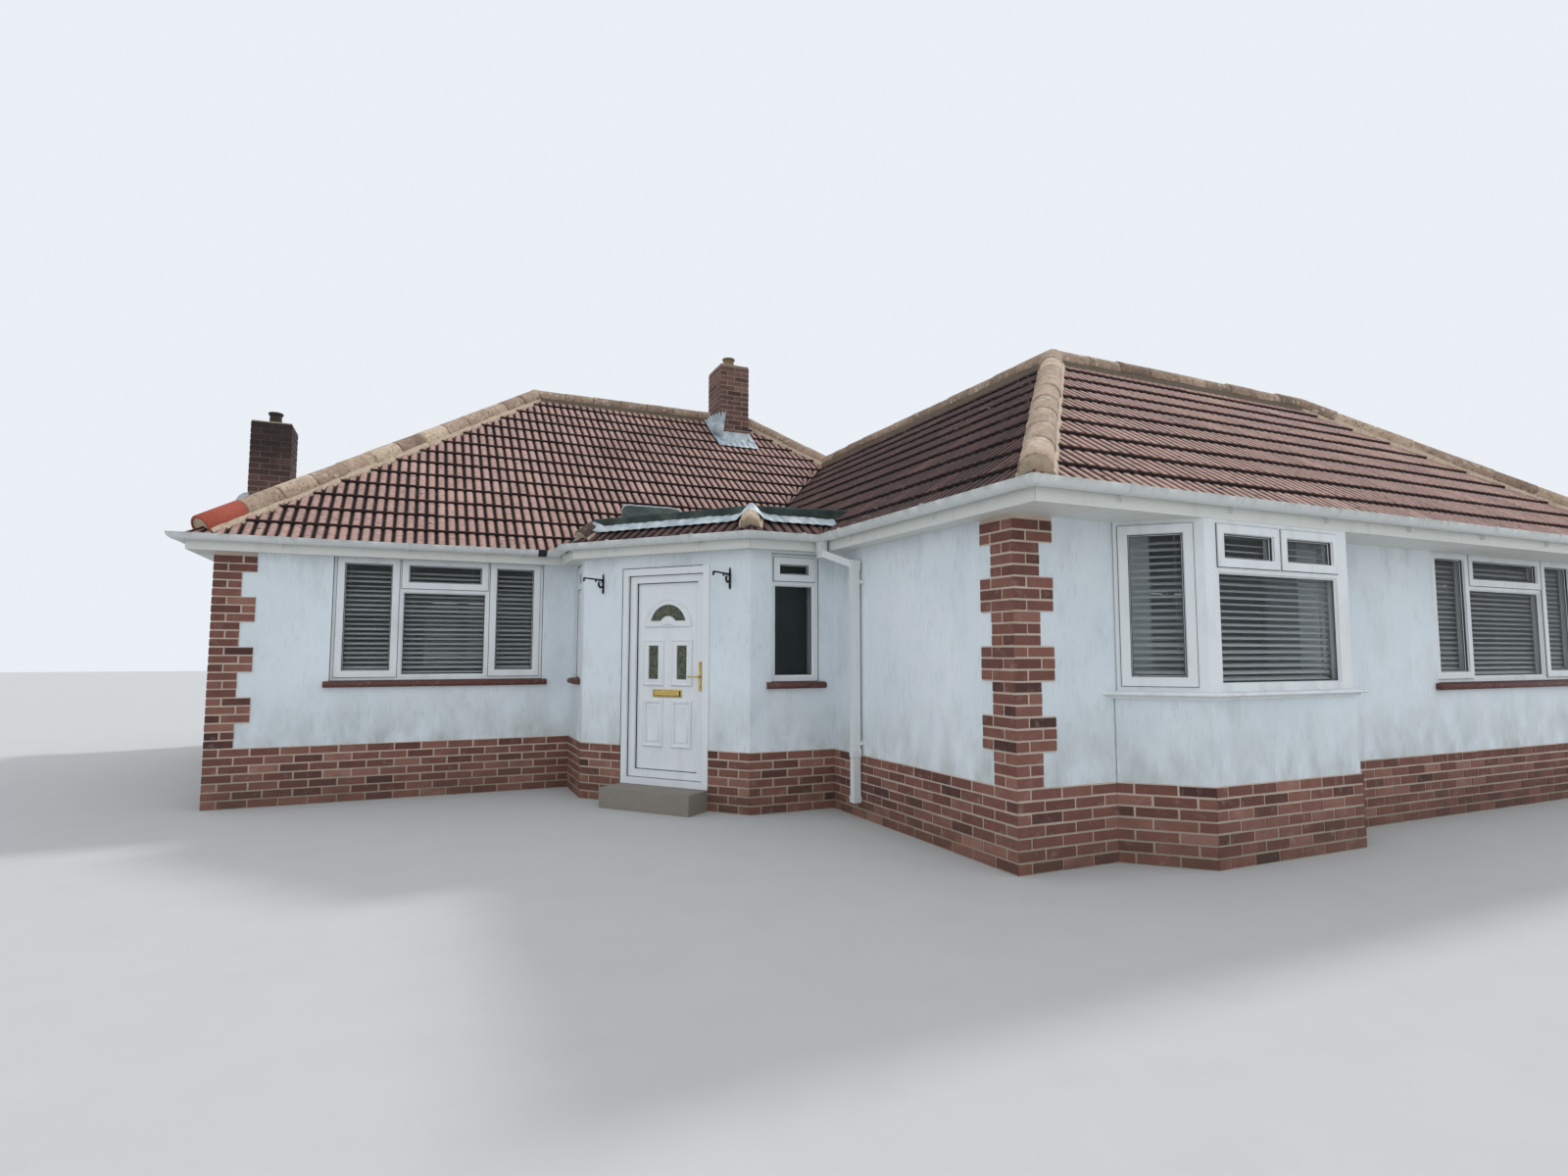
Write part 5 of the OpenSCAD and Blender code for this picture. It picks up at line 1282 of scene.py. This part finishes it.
# The lead's level is the tiles' own outside the edge and that of the edge inside it, so it runs level along
# each side; ripples follow the rolls of the tiles, and two humps pass over the hips
def dressEdge():
    l, form = lead, Form()
    plan, normal, side, travel, gone = deckEdge(roof["apronLeft"], roof["apronRight"], l["step"])
    plane = np.array([roofPlane(i) for i in side]).T
    hump = sum(high * np.exp(-((travel - at) / l["humpReach"]) ** 2) for high, at in zip(l["humps"], gone[1:3]))
    ripple = np.abs(np.cos(np.pi * travel / tiles["roll"]))
    fold = waves(travel, 91, 0.21, 0.33, 0.47)
    rows = []
    for inside, lift in l["across"]:
        share = min(1.0, max(0.0, -inside / 0.084))
        out = -inside + (0.006 * fold + 0.012 * ripple) * share
        spot = plan + out[:, None] * normal
        flat = plan if inside > 0 else spot
        level = heightOn(plane, flat)
        dress = 0.013 * (ripple - 0.4) * min(1.0, 0.35 + share) + 0.004 * fold
        rows.append(np.column_stack([spot, level + lift + dress + hump * (1 - 0.25 * share)]))
    top = np.array(rows)
    under = (top - np.array([0, 0, l["thick"]]))[::-1]
    form.sheet(placed(np.concatenate([top, under])), 0.5, closedRows=True)
    makePiece("deckEdgeLead", form, "lead", replaced=("lead_flashings",), sharp=60)


def frontLevel(x, y):
    return heightOn(roofPlane(mainFront), np.stack(np.broadcast_arrays(x, y), -1))


# The right stack's apron: up the face of the stack, then down over the tiles, with a ripple to each roll
def addApron(form):
    a, (sx0, sx1), sy0 = lead["apron"], bricks["rightStack"]["x"], bricks["rightStack"]["y"][0]
    x = np.linspace(*a["x"], 56)
    ripple = np.sin(2 * np.pi * (x + 5.108) / tiles["roll"] - 0.4)
    face = (x > sx0 - 0.01) & (x < sx1 + 0.01)
    foot = frontLevel(x, sy0)
    rows = []
    for up in (a["up"], 0.02):
        y = np.where(face, sy0 - 0.010, sy0 + 0.02)
        rows.append(np.column_stack([x, y, np.where(face, foot + up, foot + 0.014)]))
    for down in (0.02, 0.07, 0.13, 0.19, a["down"]):
        y = sy0 - (down + 0.012 * ripple * (down > 0.15))
        rows.append(np.column_stack([x, y, frontLevel(x, y) + 0.016 + 0.0085 * ripple * min(1, down / 0.1)]))
    top = np.array(rows)
    sheet = np.concatenate([top, (top - np.array([0, 0.002, 0.004]))[::-1]])
    form.sheet(placed(sheet), 0.55, closedRows=True, flip=True)


# Its sides: stepped flashing, one step to a course, over a strip that lies on the tiles
def addSteps(form):
    s, (sx0, sx1), (sy0, sy1) = lead["steps"], bricks["rightStack"]["x"], bricks["rightStack"]["y"]
    for side, sx in ((-1, sx0), (1, sx1)):
        y = np.arange(sy0 + 0.005, sy1 - 0.03, s["apart"])
        z = frontLevel(sx, y)
        a, b = sorted(sx + side * d for d in s["proud"])
        addBoxes(form, placedAt, a, b, y, y + s["long"], z + s["low"], z + s["high"], 0.45)
        y = sy0 - 0.05 + np.linspace(0, 1, 30) * (sy1 - sy0 + 0.1)
        crease = 0.004 * waves(y, 97, 0.1, 0.23)
        strip = [np.column_stack([np.full(30, sx + side * w), y, frontLevel(sx, y) + 0.016 + h + crease])
                 for w, h in s["strip"]]
        form.sheet(placed(np.array(strip)), 0.5, flip=side > 0)


# The loose fan of folded lead by the stack's front left edge: rays from its foot, folded by a sine
def addFan(form):
    f = lead["fan"]
    a, r = np.linspace(0, 1, 43), np.linspace(0.06, 1, 12)[:, None]
    angle = np.radians(f["angles"][0] + (f["angles"][1] - f["angles"][0]) * a)
    length = f["length"][0] + (f["length"][1] - f["length"][0]) * a
    length = length * (1 - 0.10 * np.abs(np.sin(np.pi * f["folds"] * a)))
    fx, fy = f["foot"]
    radius = r * length
    fold = f["depth"] * np.sin(2 * np.pi * f["folds"] * a) * r
    belly = np.sin(np.pi * np.clip(r * 0.9, 0, 1)) * 0.06
    x = fx + 0.02 + radius * np.cos(angle) - belly * a
    y = fy + 0.10 * r * a + fold - 0.03 * np.sin(np.pi * r)
    z = frontLevel(fx, fy) + 0.02 + radius * np.sin(angle) - 0.02 * belly
    sheet = np.stack([x, y, z], -1)
    back = (sheet + np.array([0, 0.003, 0]))[::-1]
    form.sheet(placed(np.concatenate([sheet, back])), 0.7, closedRows=True)


# The weathering where the left breast steps in to its stack: a quarter round, closed under itself
def addWeathering(form):
    w, (x0, _), (y0, y1) = lead["weathering"], bricks["breast"]["x"], bricks["breast"]["y"]
    top, inner = bricks["breast"]["z"][1], bricks["leftStack"]["x"][0]
    turn = np.linspace(0, np.pi / 2, 9)
    wide = inner - x0 + w["over"]
    y = np.linspace(y0 - w["past"], y1 + w["past"], 12)
    x = x0 - w["over"] + wide * (1 - np.cos(turn)) * 0.98
    z = top + 0.006 + (wide + 0.05) * np.sin(turn)
    x = np.append(x, [inner + 0.01, inner + 0.01, x0 - w["over"]])
    z = np.append(z, [z[-1], top - 0.01, top - 0.01])
    rows = np.stack(np.broadcast_arrays(x, y[:, None], z + 0.004 * waves(y, 99, 0.2, 0.31)[:, None]), -1)
    ends = [np.broadcast_to(rows[k].mean(axis=0), (1, 12, 3)) for k in (0, -1)]
    form.sheet(placed(np.concatenate([ends[0], rows, ends[1]])), 0.6, closedColumns=True, flip=True)


def dressStacks():
    form = Form()
    for add in (addApron, addSteps, addFan, addWeathering):
        add(form)
    makePiece("stackLead", form, "lead", sharp=45)


dressEdge()
dressStacks()

# Felt: the flat roof's covering, with a kerb along its front, and a sheet dressed up the main slope behind it
felt = {
    "kerb": 0.064,
    "drop": [(0.016, 0.0), (0.008, -0.003), (0.001, -0.010), (-0.003, -0.022), (-0.003, None)],
    "sheet": 0.93,
    "lap": 0.004,
    "up": {"along": (3.775, 4.56), "from": 0.34, "side": 0.84, "top": 1.10, "corner": 0.13, "over": 0.016,
           "turned": -0.03, "edge": 0.962},
}


# The covering is a plane a kerb's height over the deck, from the back corner out to the front edge, where it
# turns down, and each sheet's joint is a low step
def coverDeck():
    f, form = felt, Form()
    top = deckPlane + np.array([0, 0, f["kerb"]])
    left = meetLines(roofPlane(mainFront) - top, capping[porchLeft])
    right = meetLines(roofPlane(link) - top, capping[porchRight])
    back = meetLines(roofPlane(link) - top, roofPlane(mainFront) - top)
    edge, normal, side, travel, _ = deckEdge(left, right, 0.04)
    t = np.linspace(0, 1, 34)[:, None, None]
    plan = back + (edge - normal * f["drop"][0][0] - back)[None] * t
    z = heightOn(top, plan) + 0.003 * waves(plan[..., 0] + plan[..., 1] * 0.4, 93, 0.37, 0.83)
    joint = f["lap"] * (travel / f["sheet"] % 1 > 0.5)
    z = z + joint
    rows = [np.concatenate([plan, z[..., None]], -1)]
    plane = np.array([roofPlane(i) for i in side]).T
    for inset, down in f["drop"][1:]:
        spot = edge - normal * inset
        seat = heightOn(plane, edge) - 0.012  # under the lead
        level = seat if down is None else heightOn(top, spot) + joint + down
        rows.append(np.column_stack([spot, level])[None])
    form.sheet(placed(np.concatenate(rows)), 0.5, 0.5, flip=True)
    dressUp(form)
    makePiece("deckFelt", form, "felt", sharp=50)


# The sheet behind it lies on the tiles' rolls, u along the eave and v up the slope: its top corners are
# quarter ellipses, its edges turn down between the rolls, and its top edge has a lighter tone, a painted
# highlight
def dressUp(form):
    up = felt["up"]
    u = np.linspace(*up["along"], 60)
    u = np.concatenate([u[:1], u, u[-1:]])[:, None]
    nearest = np.minimum(u - up["along"][0], up["along"][1] - u)
    corner = np.sqrt(1 - (1 - np.clip(nearest / up["corner"], 0, 1)) ** 2)
    t = np.concatenate([np.linspace(0, up["edge"], 16), [1, 1]])[None]
    v = up["from"] + (up["side"] - up["from"] + (up["top"] - up["side"]) * corner) * t
    h = up["over"] + 0.003 * waves(u + 0.5 * v, 95, 0.11, 0.23)
    h[0], h[-1], h[:, -1] = up["turned"], up["turned"], up["turned"]
    # the top strip's tone of 1 is a painted highlight
    tone = np.where(t + 0 * u < up["edge"], 0.5, 1.0)
    form.sheet(onSlope(mainFront, np.broadcast_to(u, v.shape), v, h), tone, 0.5, flip=True)


coverDeck()

# Front door: mouldings on the leaf, dark seals round it, brass handles and letter plate. Sections are points
# (way in from an outline, y off the leaf's panel, or off its face for the handle)
door = {
    "s": 0.475,
    "z": -0.345,
    "size": (0.955, 1.985),
    "stop": (0.065, 0.890, 0.060, 1.915),
    "panel": (0.135, 0.820, 0.130, 1.845),
    "middle": 0.4775,
    "panelY": 0.062,
    "fan": {"z": 1.440, "rim": 0.250, "glass": 0.204, "boss": 0.090, "rail": 0.046, "ribs": 9},
    "pane": {"x": 0.156, "size": (0.116, 0.316), "z": 0.951, "rim": 0.049},
    "lower": {"x": 0.156, "size": (0.205, 0.415), "z": 0.345, "ring": 0.0245},
    "plate": {"x": (0.837, 0.869), "z": (0.855, 1.120), "lever": 0.985, "reach": 0.030, "length": 0.120,
              "lock": 0.893, "round": 0.011},
    "slot": {"size": (0.317, 0.072), "z": 0.791},
    "faces": (0.027, 0.092),
    "edgeBead": [(-0.008, 0.001), (-0.007, -0.007), (-0.003, -0.0135), (0.003, -0.0168), (0.009, -0.0165),
                 (0.012, -0.0140), (0.014, -0.0095), (0.014, 0.001)],
    "glassBead": [(-0.016, -0.008), (-0.013, -0.0130), (-0.005, -0.0145), (0.003, -0.0115), (0.006, -0.005),
                  (0.006, 0.003), (-0.016, 0.003)],
    "glassSeal": [(0.004, -0.0016), (0.009, -0.0006), (0.009, 0.002), (0.004, 0.002)],
    "lowerField": [(0, 0.001), (0.002, -0.001), (0.021, -0.0085), (0.024, -0.0075)],
    "panelSeal": [(-0.001, -0.010), (0.005, -0.007), (0.006, 0.001), (-0.001, 0.001)],
    "frameSeal": [(-0.003, 0.0185), (0.0042, 0.0200), (0.0042, 0.0258), (-0.003, 0.0258)],  # off the wall
    "handlePlate": [(0, 0), (0, -0.005), (0.0015, -0.0068), (0.006, -0.007), (0.008, -0.0055)],
    "letterFrame": [(0, 0.001), (0, -0.005), (0.003, -0.007), (0.011, -0.0065), (0.013, -0.004),
                    (0.013, 0.001)],
    "letterFlap": [(0, 0), (0, -0.007), (0.002, -0.0100), (0.006, -0.0108), (0.020, -0.0095)],
}


def rectangle(x0, x1, z0, z1):
    return np.array([(x0, z0), (x1, z0), (x1, z1), (x0, z1)], float)


# A rectangle that stands on a level, with its middle at x
def standing(x, z, size):
    return rectangle(x - size[0] / 2, x + size[0] / 2, z, z + size[1])


def arc(x, z, r, first, last, count):
    turn = np.radians(np.linspace(first, last, count))
    return np.column_stack([x + r * np.cos(turn), z + r * np.sin(turn)])


def roundedRectangle(x0, x1, z0, z1, r):
    return np.concatenate([arc(x1 - r, z0 + r, r, -90, 0, 5), arc(x1 - r, z1 - r, r, 0, 90, 5),
                           arc(x0 + r, z1 - r, r, 90, 180, 5), arc(x0 + r, z0 + r, r, 180, 270, 5)])


# Half a ring over a rail: the outer arc one way, the boss the other
def fanOutline():
    f, x = door["fan"], door["middle"]
    outer, inner = (math.degrees(math.asin(f["rail"] / f[r])) for r in ("glass", "boss"))
    over, under = (f["glass"], outer, 180 - outer, 31), (f["boss"], 180 - inner, inner, 13)
    return np.concatenate([arc(x, f["z"], *over), arc(x, f["z"], *under)])


# The way inwards at each corner of an outline: the sum of its edges' normals, stretched to keep the mitre
def mitres(path):
    edge = np.roll(path, -1, axis=0) - path
    edge /= np.linalg.norm(edge, axis=1, keepdims=True)
    normal = np.column_stack([-edge[:, 1], edge[:, 0]])
    last = np.roll(normal, 1, axis=0)
    return (normal + last) / (1 + np.sum(normal * last, axis=1, keepdims=True))


# A closed section of (inset, y) points, y counted from a base, carried round an outline
def addMoulding(form, place, path, section, base=0.0):
    section = np.asarray(section, float) + [0, base]
    spot = path[:, None] + section[None, :, :1] * mitres(path)[:, None]
    y = np.broadcast_to(section[:, 1], spot.shape[:2])
    form.sheet(place(spot[..., 0], y, spot[..., 1]), closedRows=True, closedColumns=True, flip=True)


# An outline that steps in and out by (inset, y) points and is closed at its middle
def addPlate(form, place, path, section, base=0.0, flip=False):
    section = np.asarray(section, float) + [0, base]
    spot = path[None] + section[:, None, :1] * mitres(path)[None]
    spot = np.concatenate([spot, np.broadcast_to(path.mean(axis=0), spot[:1].shape)])
    y = np.broadcast_to(np.append(section[:, 1], section[-1, 1])[:, None], spot.shape[:2])
    form.sheet(place(spot[..., 0], y, spot[..., 1]), closedColumns=True, flip=flip)


def atDoor(x, y, z):
    return onWall(porchDoor, np.asarray(x, float) + door["s"], y, np.asarray(z, float) + door["z"])


def dressDoor():
    d, white, sealsAndShadows, frameSeals = door, Form(), Form(), Form()
    panel, middle, f = d["panelY"], d["middle"], d["fan"]
    addMoulding(white, atDoor, arc(middle, f["z"], f["rim"], 0, 180, 41), d["edgeBead"], panel)
    addMoulding(white, atDoor, fanOutline(), d["glassBead"], panel)
    addMoulding(sealsAndShadows, atDoor, fanOutline(), d["glassSeal"], panel)
    # the boss: a low half dome whose ribs fan out from its foot
    turn, out = np.radians(np.linspace(4, 176, 55))[None], np.linspace(0.12, 1, 9)[:, None]
    ribs = 0.0028 * np.abs(np.sin(f["ribs"] * turn)) * np.sin(np.pi * out)
    swell = 0.006 * np.sqrt(np.clip(1 - out ** 4, 0, 1)) + ribs
    x, z = 0.068 * out * np.cos(turn), 0.068 * out * np.sin(turn)
    white.sheet(atDoor(middle + x, panel - 0.0095 - swell, f["z"] + 0.014 + z))
    for side in (-1, 1):
        p, low = d["pane"], d["lower"]
        outline = standing(middle + side * p["x"], p["z"], p["size"])
        addMoulding(white, atDoor, outline - p["rim"] * mitres(outline), d["edgeBead"], panel)
        addMoulding(white, atDoor, outline, d["glassBead"], panel)
        addMoulding(sealsAndShadows, atDoor, outline, d["glassSeal"], panel)
        outline = standing(middle + side * low["x"], low["z"], low["size"])
        addMoulding(white, atDoor, outline, d["edgeBead"], panel)
        inner = outline + (low["ring"] + 0.004) * mitres(outline)
        addPlate(white, atDoor, inner, d["lowerField"], panel)
    makePiece("doorMouldings", white, "doorPlastic", body="front_door", sharp=32)
    # seals: between the leaf's ring and its panel, between frame and leaf, and between frame and wall; and
    # painted
    # shadow: a dark strip at the letter plate's right end, and dark strips down the frame's left edge and along
    # its top
    addMoulding(sealsAndShadows, atDoor, rectangle(*d["panel"]), d["panelSeal"], panel)
    # Painted shadow: a dark strip on the panel, seen in the gap where the flap stops short of the plate's right
    # end
    (wide, high), low = d["slot"]["size"], d["slot"]["z"]
    right = middle + wide / 2
    slot = (right - 0.026, right - 0.004, panel - 0.0062, panel - 0.001, low + 0.006, low + high - 0.006)
    addBoxes(sealsAndShadows, atDoor, *slot)
    makePiece("leafSeals", sealsAndShadows, "seal", body="front_door", sharp=30)
    addMoulding(frameSeals, atDoor, rectangle(*d["stop"]), d["frameSeal"])
    # Painted shadow: a dark strip down the frame's left edge and one along its top, none on the other sides
    across, tall = d["size"]
    lefts, rights = [-0.0005, -0.0005], [0.006, across * 0.93]
    feet, tops = [0, tall - 0.006], [tall, tall + 0.0005]
    addBoxes(frameSeals, atDoor, lefts, rights, -0.005, 0.002, feet, tops)
    makePiece("frameSeals", frameSeals, "seal", sharp=30)


# A handle is a rounded plate, a neck and a lever that thickens to its end; the inside one is its mirror image
def fitHandles():
    d, form, dark = door, Form(), Form()
    k, (outside, inside) = d["plate"], d["faces"]
    x, z, lock = sum(k["x"]) / 2, k["lever"], k["lock"]
    outline = roundedRectangle(*k["x"], *k["z"], k["round"])
    far = outside - 0.007 - k["reach"]
    lever = [(x, 0.024, z), (x, 0.006, z), (x - 0.001, -0.004, z), (x - 0.006, far + 0.001, z),
             (x - 0.014, far, z), (x - 0.04, far, z - 0.001), (x - 0.08, far, z - 0.002),
             (x - 0.105, far + 0.001, z - 0.001), (x - k["length"] + 0.004, far + 0.004, z + 0.002)]
    thick = [0.011, 0.0085, 0.0080, 0.0078, 0.0078, 0.0066, 0.0064, 0.0082, 0.0060]
    bars = [(form, lever, thick, 14), (form, [(x, 0.022, lock), (x, 0.0165, lock)], 0.0088, 14),
            (dark, [(x, 0.020, lock), (x, 0.0155, lock)], 0.0028, 14)]
    for screw in (k["z"][0] + 0.013, k["z"][1] - 0.013):
        bars.append((form, [(x, 0.023, screw), (x, 0.0188, screw)], 0.0042, 10))
    for mirror in (False, True):
        turned = (lambda y: outside + inside - y) if mirror else (lambda y: y)
        plate = [(a, turned(outside + y)) for a, y in d["handlePlate"]]
        addPlate(form, atDoor, outline, plate, flip=mirror)
        for target, path, radius, sides in bars:
            px, py, pz = np.array(path).T
            addBar(target, atDoor(px, turned(py), pz), radius, sides)
    makePiece("doorHandles", form, "brass", body="front_door", replaced=("door_handles",), sharp=40)
    makePiece("keyways", dark, "seal", body="front_door")


def fitLetterPlate():
    d, form = door, Form()
    (wide, high), low, y = d["slot"]["size"], d["slot"]["z"], d["panelY"]
    x0, x1 = d["middle"] - wide / 2, d["middle"] + wide / 2
    addMoulding(form, atDoor, rectangle(x0, x1, low, low + high), d["letterFrame"], y)
    flap = roundedRectangle(x0 + 0.016, x1 - 0.026, low + 0.015, low + high - 0.013, 0.003)
    addPlate(form, atDoor, flap, d["letterFlap"], y)
    makePiece("letterPlate", form, "brass", body="front_door", replaced=("letter_plate",), sharp=40)


dressDoor()
fitHandles()
fitLetterPlate()

# Iron brackets beside the door: a leaf-ended plate, an arm with a turned-down end, a scroll and a ball
brackets = {
    "s": (0.235, 1.640),
    "plateZ": (1.410, 1.605),
    "plate": [(0, 0.008), (0, 0.001), (0.0015, -0.002), (0.003, -0.0025)],
    "arm": (1.545, -0.268),
    "bend": 0.010,
    "scroll": (-0.035, 1.504, 0.0355),
    "turns": 1.7,
    "ball": (-0.105, -0.016, 0.0105),  # its y, its height over the arm and its radius
}


def forgeBrackets():
    b, form = brackets, Form()
    (low, high), (z, far), r = b["plateZ"], b["arm"], b["bend"]
    for s in b["s"]:
        place = lambda x, y, z, s=s: onWall(porchDoor, s + np.asarray(x, float), y, z)
        turn = np.linspace(0, 2 * np.pi, 29)[:-1]
        c, d = np.cos(turn), np.sin(turn)
        wide = 0.0045 + 0.0055 * np.abs(c) ** 0.8 + 0.004 * np.exp(-((d + 0.78) / 0.2) ** 2)
        wide = np.sign(c) * wide * np.abs(c) ** 0.35
        outline = np.column_stack([wide, (low + high) / 2 + (high - low) / 2 * d])
        addPlate(form, place, outline, b["plate"])
        bend = np.radians([30, 60, 90])
        y = np.concatenate([np.linspace(0.002, far, 16), far - r * np.sin(bend), [far - r] * 2])
        up = np.concatenate([np.full(16, z), z - r + r * np.cos(bend), [z - 0.022, z - 0.034]])
        addBar(form, place(0, y, up), np.concatenate([np.full(19, 0.0076), [0.0055, 0.0084]]), 8)
        y, up = far + np.array([0.01, 0.01, 0.004, -0.006]), z + np.array([0, -0.018, -0.027, -0.024])
        addBar(form, place(0, y, up), 0.0045, 8)
        # the scroll: a ring that tightens after its first half turn
        cy, cz, wide = b["scroll"]
        a = np.linspace(0, b["turns"] * 2 * np.pi, 56)
        radius = wide * (1 - 0.66 * np.clip((a - 1.6 * np.pi) / (2 * np.pi), 0, 1))
        addBar(form, place(0, cy + radius * np.cos(a), cz - radius * np.sin(a)), 0.0058, 8)
        (y, up, wide), t = b["ball"], np.linspace(-1, 1, 9)
        addBar(form, place(0, np.full(9, y), z + up + wide * t), wide * np.sqrt(1 - t ** 2) + 0.0004, 12)
        for screw in (low + 0.035, high - 0.02):
            addBar(form, place(0, np.array([0.0, -0.0055]), np.full(2, screw)), 0.0048, 8)
    makePiece("lampBrackets", form, "iron", replaced=("lamp_brackets",), sharp=40)


forgeBrackets()

# Chimney tops: mortar that slopes up from the bricks' edge to the foot of a clay pot
chimneyTop = {
    "foot": 0.088,
    "share": [0, 0, 0, 0.12, 0.35, 0.6, 0.85, 1.0],  # of the way from the bricks' edge to the pot's foot
    "inset": [0.0, 0.0, 0.024, 0, 0, 0, 0, 0],
    "lift": [-0.004, 0.011, 0.016, 0.021, 0.028, 0.034, 0.040, 0.045],
    "sunk": 0.006,
    # a pot's stack, its finish and its profile over the rim and into it, as (radius, height)
    "pots": {"leftPot": ("leftStack", "darkPot", [
        (0.074, 0.0), (0.070, 0.06), (0.068, 0.115), (0.083, 0.122), (0.086, 0.138), (0.082, 0.150),
        (0.062, 0.150), (0.060, 0.09), (0.0, 0.088)]),
             "rightPot": ("rightStack", "pot", [
        (0.085, 0.0), (0.083, 0.05), (0.081, 0.118), (0.094, 0.124), (0.097, 0.134), (0.096, 0.146),
        (0.090, 0.150), (0.070, 0.150), (0.067, 0.09), (0.0, 0.088)])},
}


def topChimneys():
    c, mortar = chimneyTop, Form()
    share, inset, lift = (np.array(c[k]) for k in ("share", "inset", "lift"))
    for number, (name, (stack, finish, profile)) in enumerate(c["pots"].items()):
        (x0, x1), (y0, y1), (_, top) = (bricks[stack][k] for k in "xyz")
        middle, half = np.array([(x0 + x1) / 2, (y0 + y1) / 2]), np.array([(x1 - x0) / 2, (y1 - y0) / 2])
        corner = math.atan2(half[1], half[0])
        corners = [corner, np.pi - corner, np.pi + corner, 2 * np.pi - corner]
        turn = np.sort(np.concatenate([np.linspace(0, 2 * np.pi, 41)[:-1], corners]))
        circle = np.stack([np.cos(turn), np.sin(turn)], -1)
        square = circle * np.min(half / np.maximum(np.abs(circle), 1e-6), axis=1, keepdims=True)
        near, grown = (square * (1 - inset[:, None, None])), share[:, None, None]
        spread = middle + near * (1 - grown) + c["foot"] * circle * grown
        lumps = 0.004 * waves(turn * 0.16 + share[:, None] * 0.2, 131 + number, 0.23, 0.41)
        level = top + lift[:, None] + lumps * (lift[:, None] > 0.01)
        mortar.sheet(placedAt(spread[..., 0], spread[..., 1], level), 0.5, closedColumns=True)
        turn, pot = np.linspace(0, 2 * np.pi, 33)[:-1], Form()
        radius, rise = (column[:, None] for column in np.array(profile).T)
        x, y = middle[0] + radius * np.cos(turn), middle[1] + radius * np.sin(turn)
        pot.sheet(placedAt(x, y, top + lift[-1] + rise - c["sunk"] * (rise == 0)), 0.5, closedColumns=True)
        makePiece(name, pot, finish, replaced=("chimney_pots",), sharp=40)
    makePiece("chimneyMortar", mortar, "bedding", replaced=("chimney_pots",), sharp=40)


topChimneys()

# The camera stands where the photograph was taken
view = {
    "place": (-4.875, -9.426, 1.385),
    "yaw": 65.605,
    "pitch": 4.518,
    "roll": 0.078,
    "sensor": 36,
    "lens": 828.2 / 1600,  # the focal length as a share of the frame's width
}
camera = bpy.data.objects.new("camera", bpy.data.cameras.new("camera"))
bpy.context.scene.collection.objects.link(camera)
camera.data.lens, camera.data.sensor_width = view["lens"] * view["sensor"], view["sensor"]
camera.data.sensor_fit = "HORIZONTAL"
yaw, pitch, roll = (math.radians(view[k]) for k in ("yaw", "pitch", "roll"))
ahead = Vector((math.cos(yaw) * math.cos(pitch), math.sin(yaw) * math.cos(pitch), math.sin(pitch)))
right = Vector((math.sin(yaw), -math.cos(yaw), 0))
up = right.cross(ahead)
tilted = (right * math.cos(roll) + up * math.sin(roll), up * math.cos(roll) - right * math.sin(roll))
turned = Matrix((*tilted, -ahead)).transposed().to_4x4()
camera.matrix_world = Matrix.Translation(view["place"]) @ turned
bpy.context.scene.camera = camera
bpy.context.scene.view_settings.view_transform = "Standard"

# A pale floor, a pale sky all round and one soft lamp high on the right
studio = {
    "sky": (0.90, 0.94, 1.0, 1),
    "skyLight": 1.0,
    "skySeen": 0.92,
    "lamp": 1.65,
    "spread": 6,
    "from": (52, 0, 112),
    "floor": 60,
}
floorMesh = bpy.data.meshes.new("floor")
corners = [(x * studio["floor"], y * studio["floor"], 0) for x, y in ((-1, -1), (1, -1), (1, 1), (-1, 1))]
floorMesh.from_pydata(corners, [], [(0, 1, 2, 3)])
floor = bpy.data.objects.new("floor", floorMesh)
bpy.context.scene.collection.objects.link(floor)
floorMesh.materials.append(plainFinish("studioFloor", (192, 192, 190), 0.9, 3, 0.05, 6))
world = bpy.data.worlds.new("studio")
bpy.context.scene.world = world
world.use_nodes = True
plain = world.node_tree.nodes["Background"]
plain.inputs[0].default_value = studio["sky"]
seen = world.node_tree.nodes.new("ShaderNodeLightPath")
most = seen.outputs["Is Camera Ray"]
for name in ("Is Glossy Ray", "Is Transmission Ray"):
    either = world.node_tree.nodes.new("ShaderNodeMath")
    either.operation = "MAXIMUM"
    world.node_tree.links.new(most, either.inputs[0])
    world.node_tree.links.new(seen.outputs[name], either.inputs[1])
    most = either.outputs[0]
power = world.node_tree.nodes.new("ShaderNodeMapRange")
power.inputs["To Min"].default_value = studio["skyLight"]
power.inputs["To Max"].default_value = studio["skySeen"]
world.node_tree.links.new(most, power.inputs[0])
world.node_tree.links.new(power.outputs[0], plain.inputs[1])
lamp = bpy.data.objects.new("lamp", bpy.data.lights.new("lamp", "SUN"))
bpy.context.scene.collection.objects.link(lamp)
lamp.data.energy, lamp.data.angle = studio["lamp"], math.radians(studio["spread"])
lamp.rotation_euler = [math.radians(a) for a in studio["from"]]
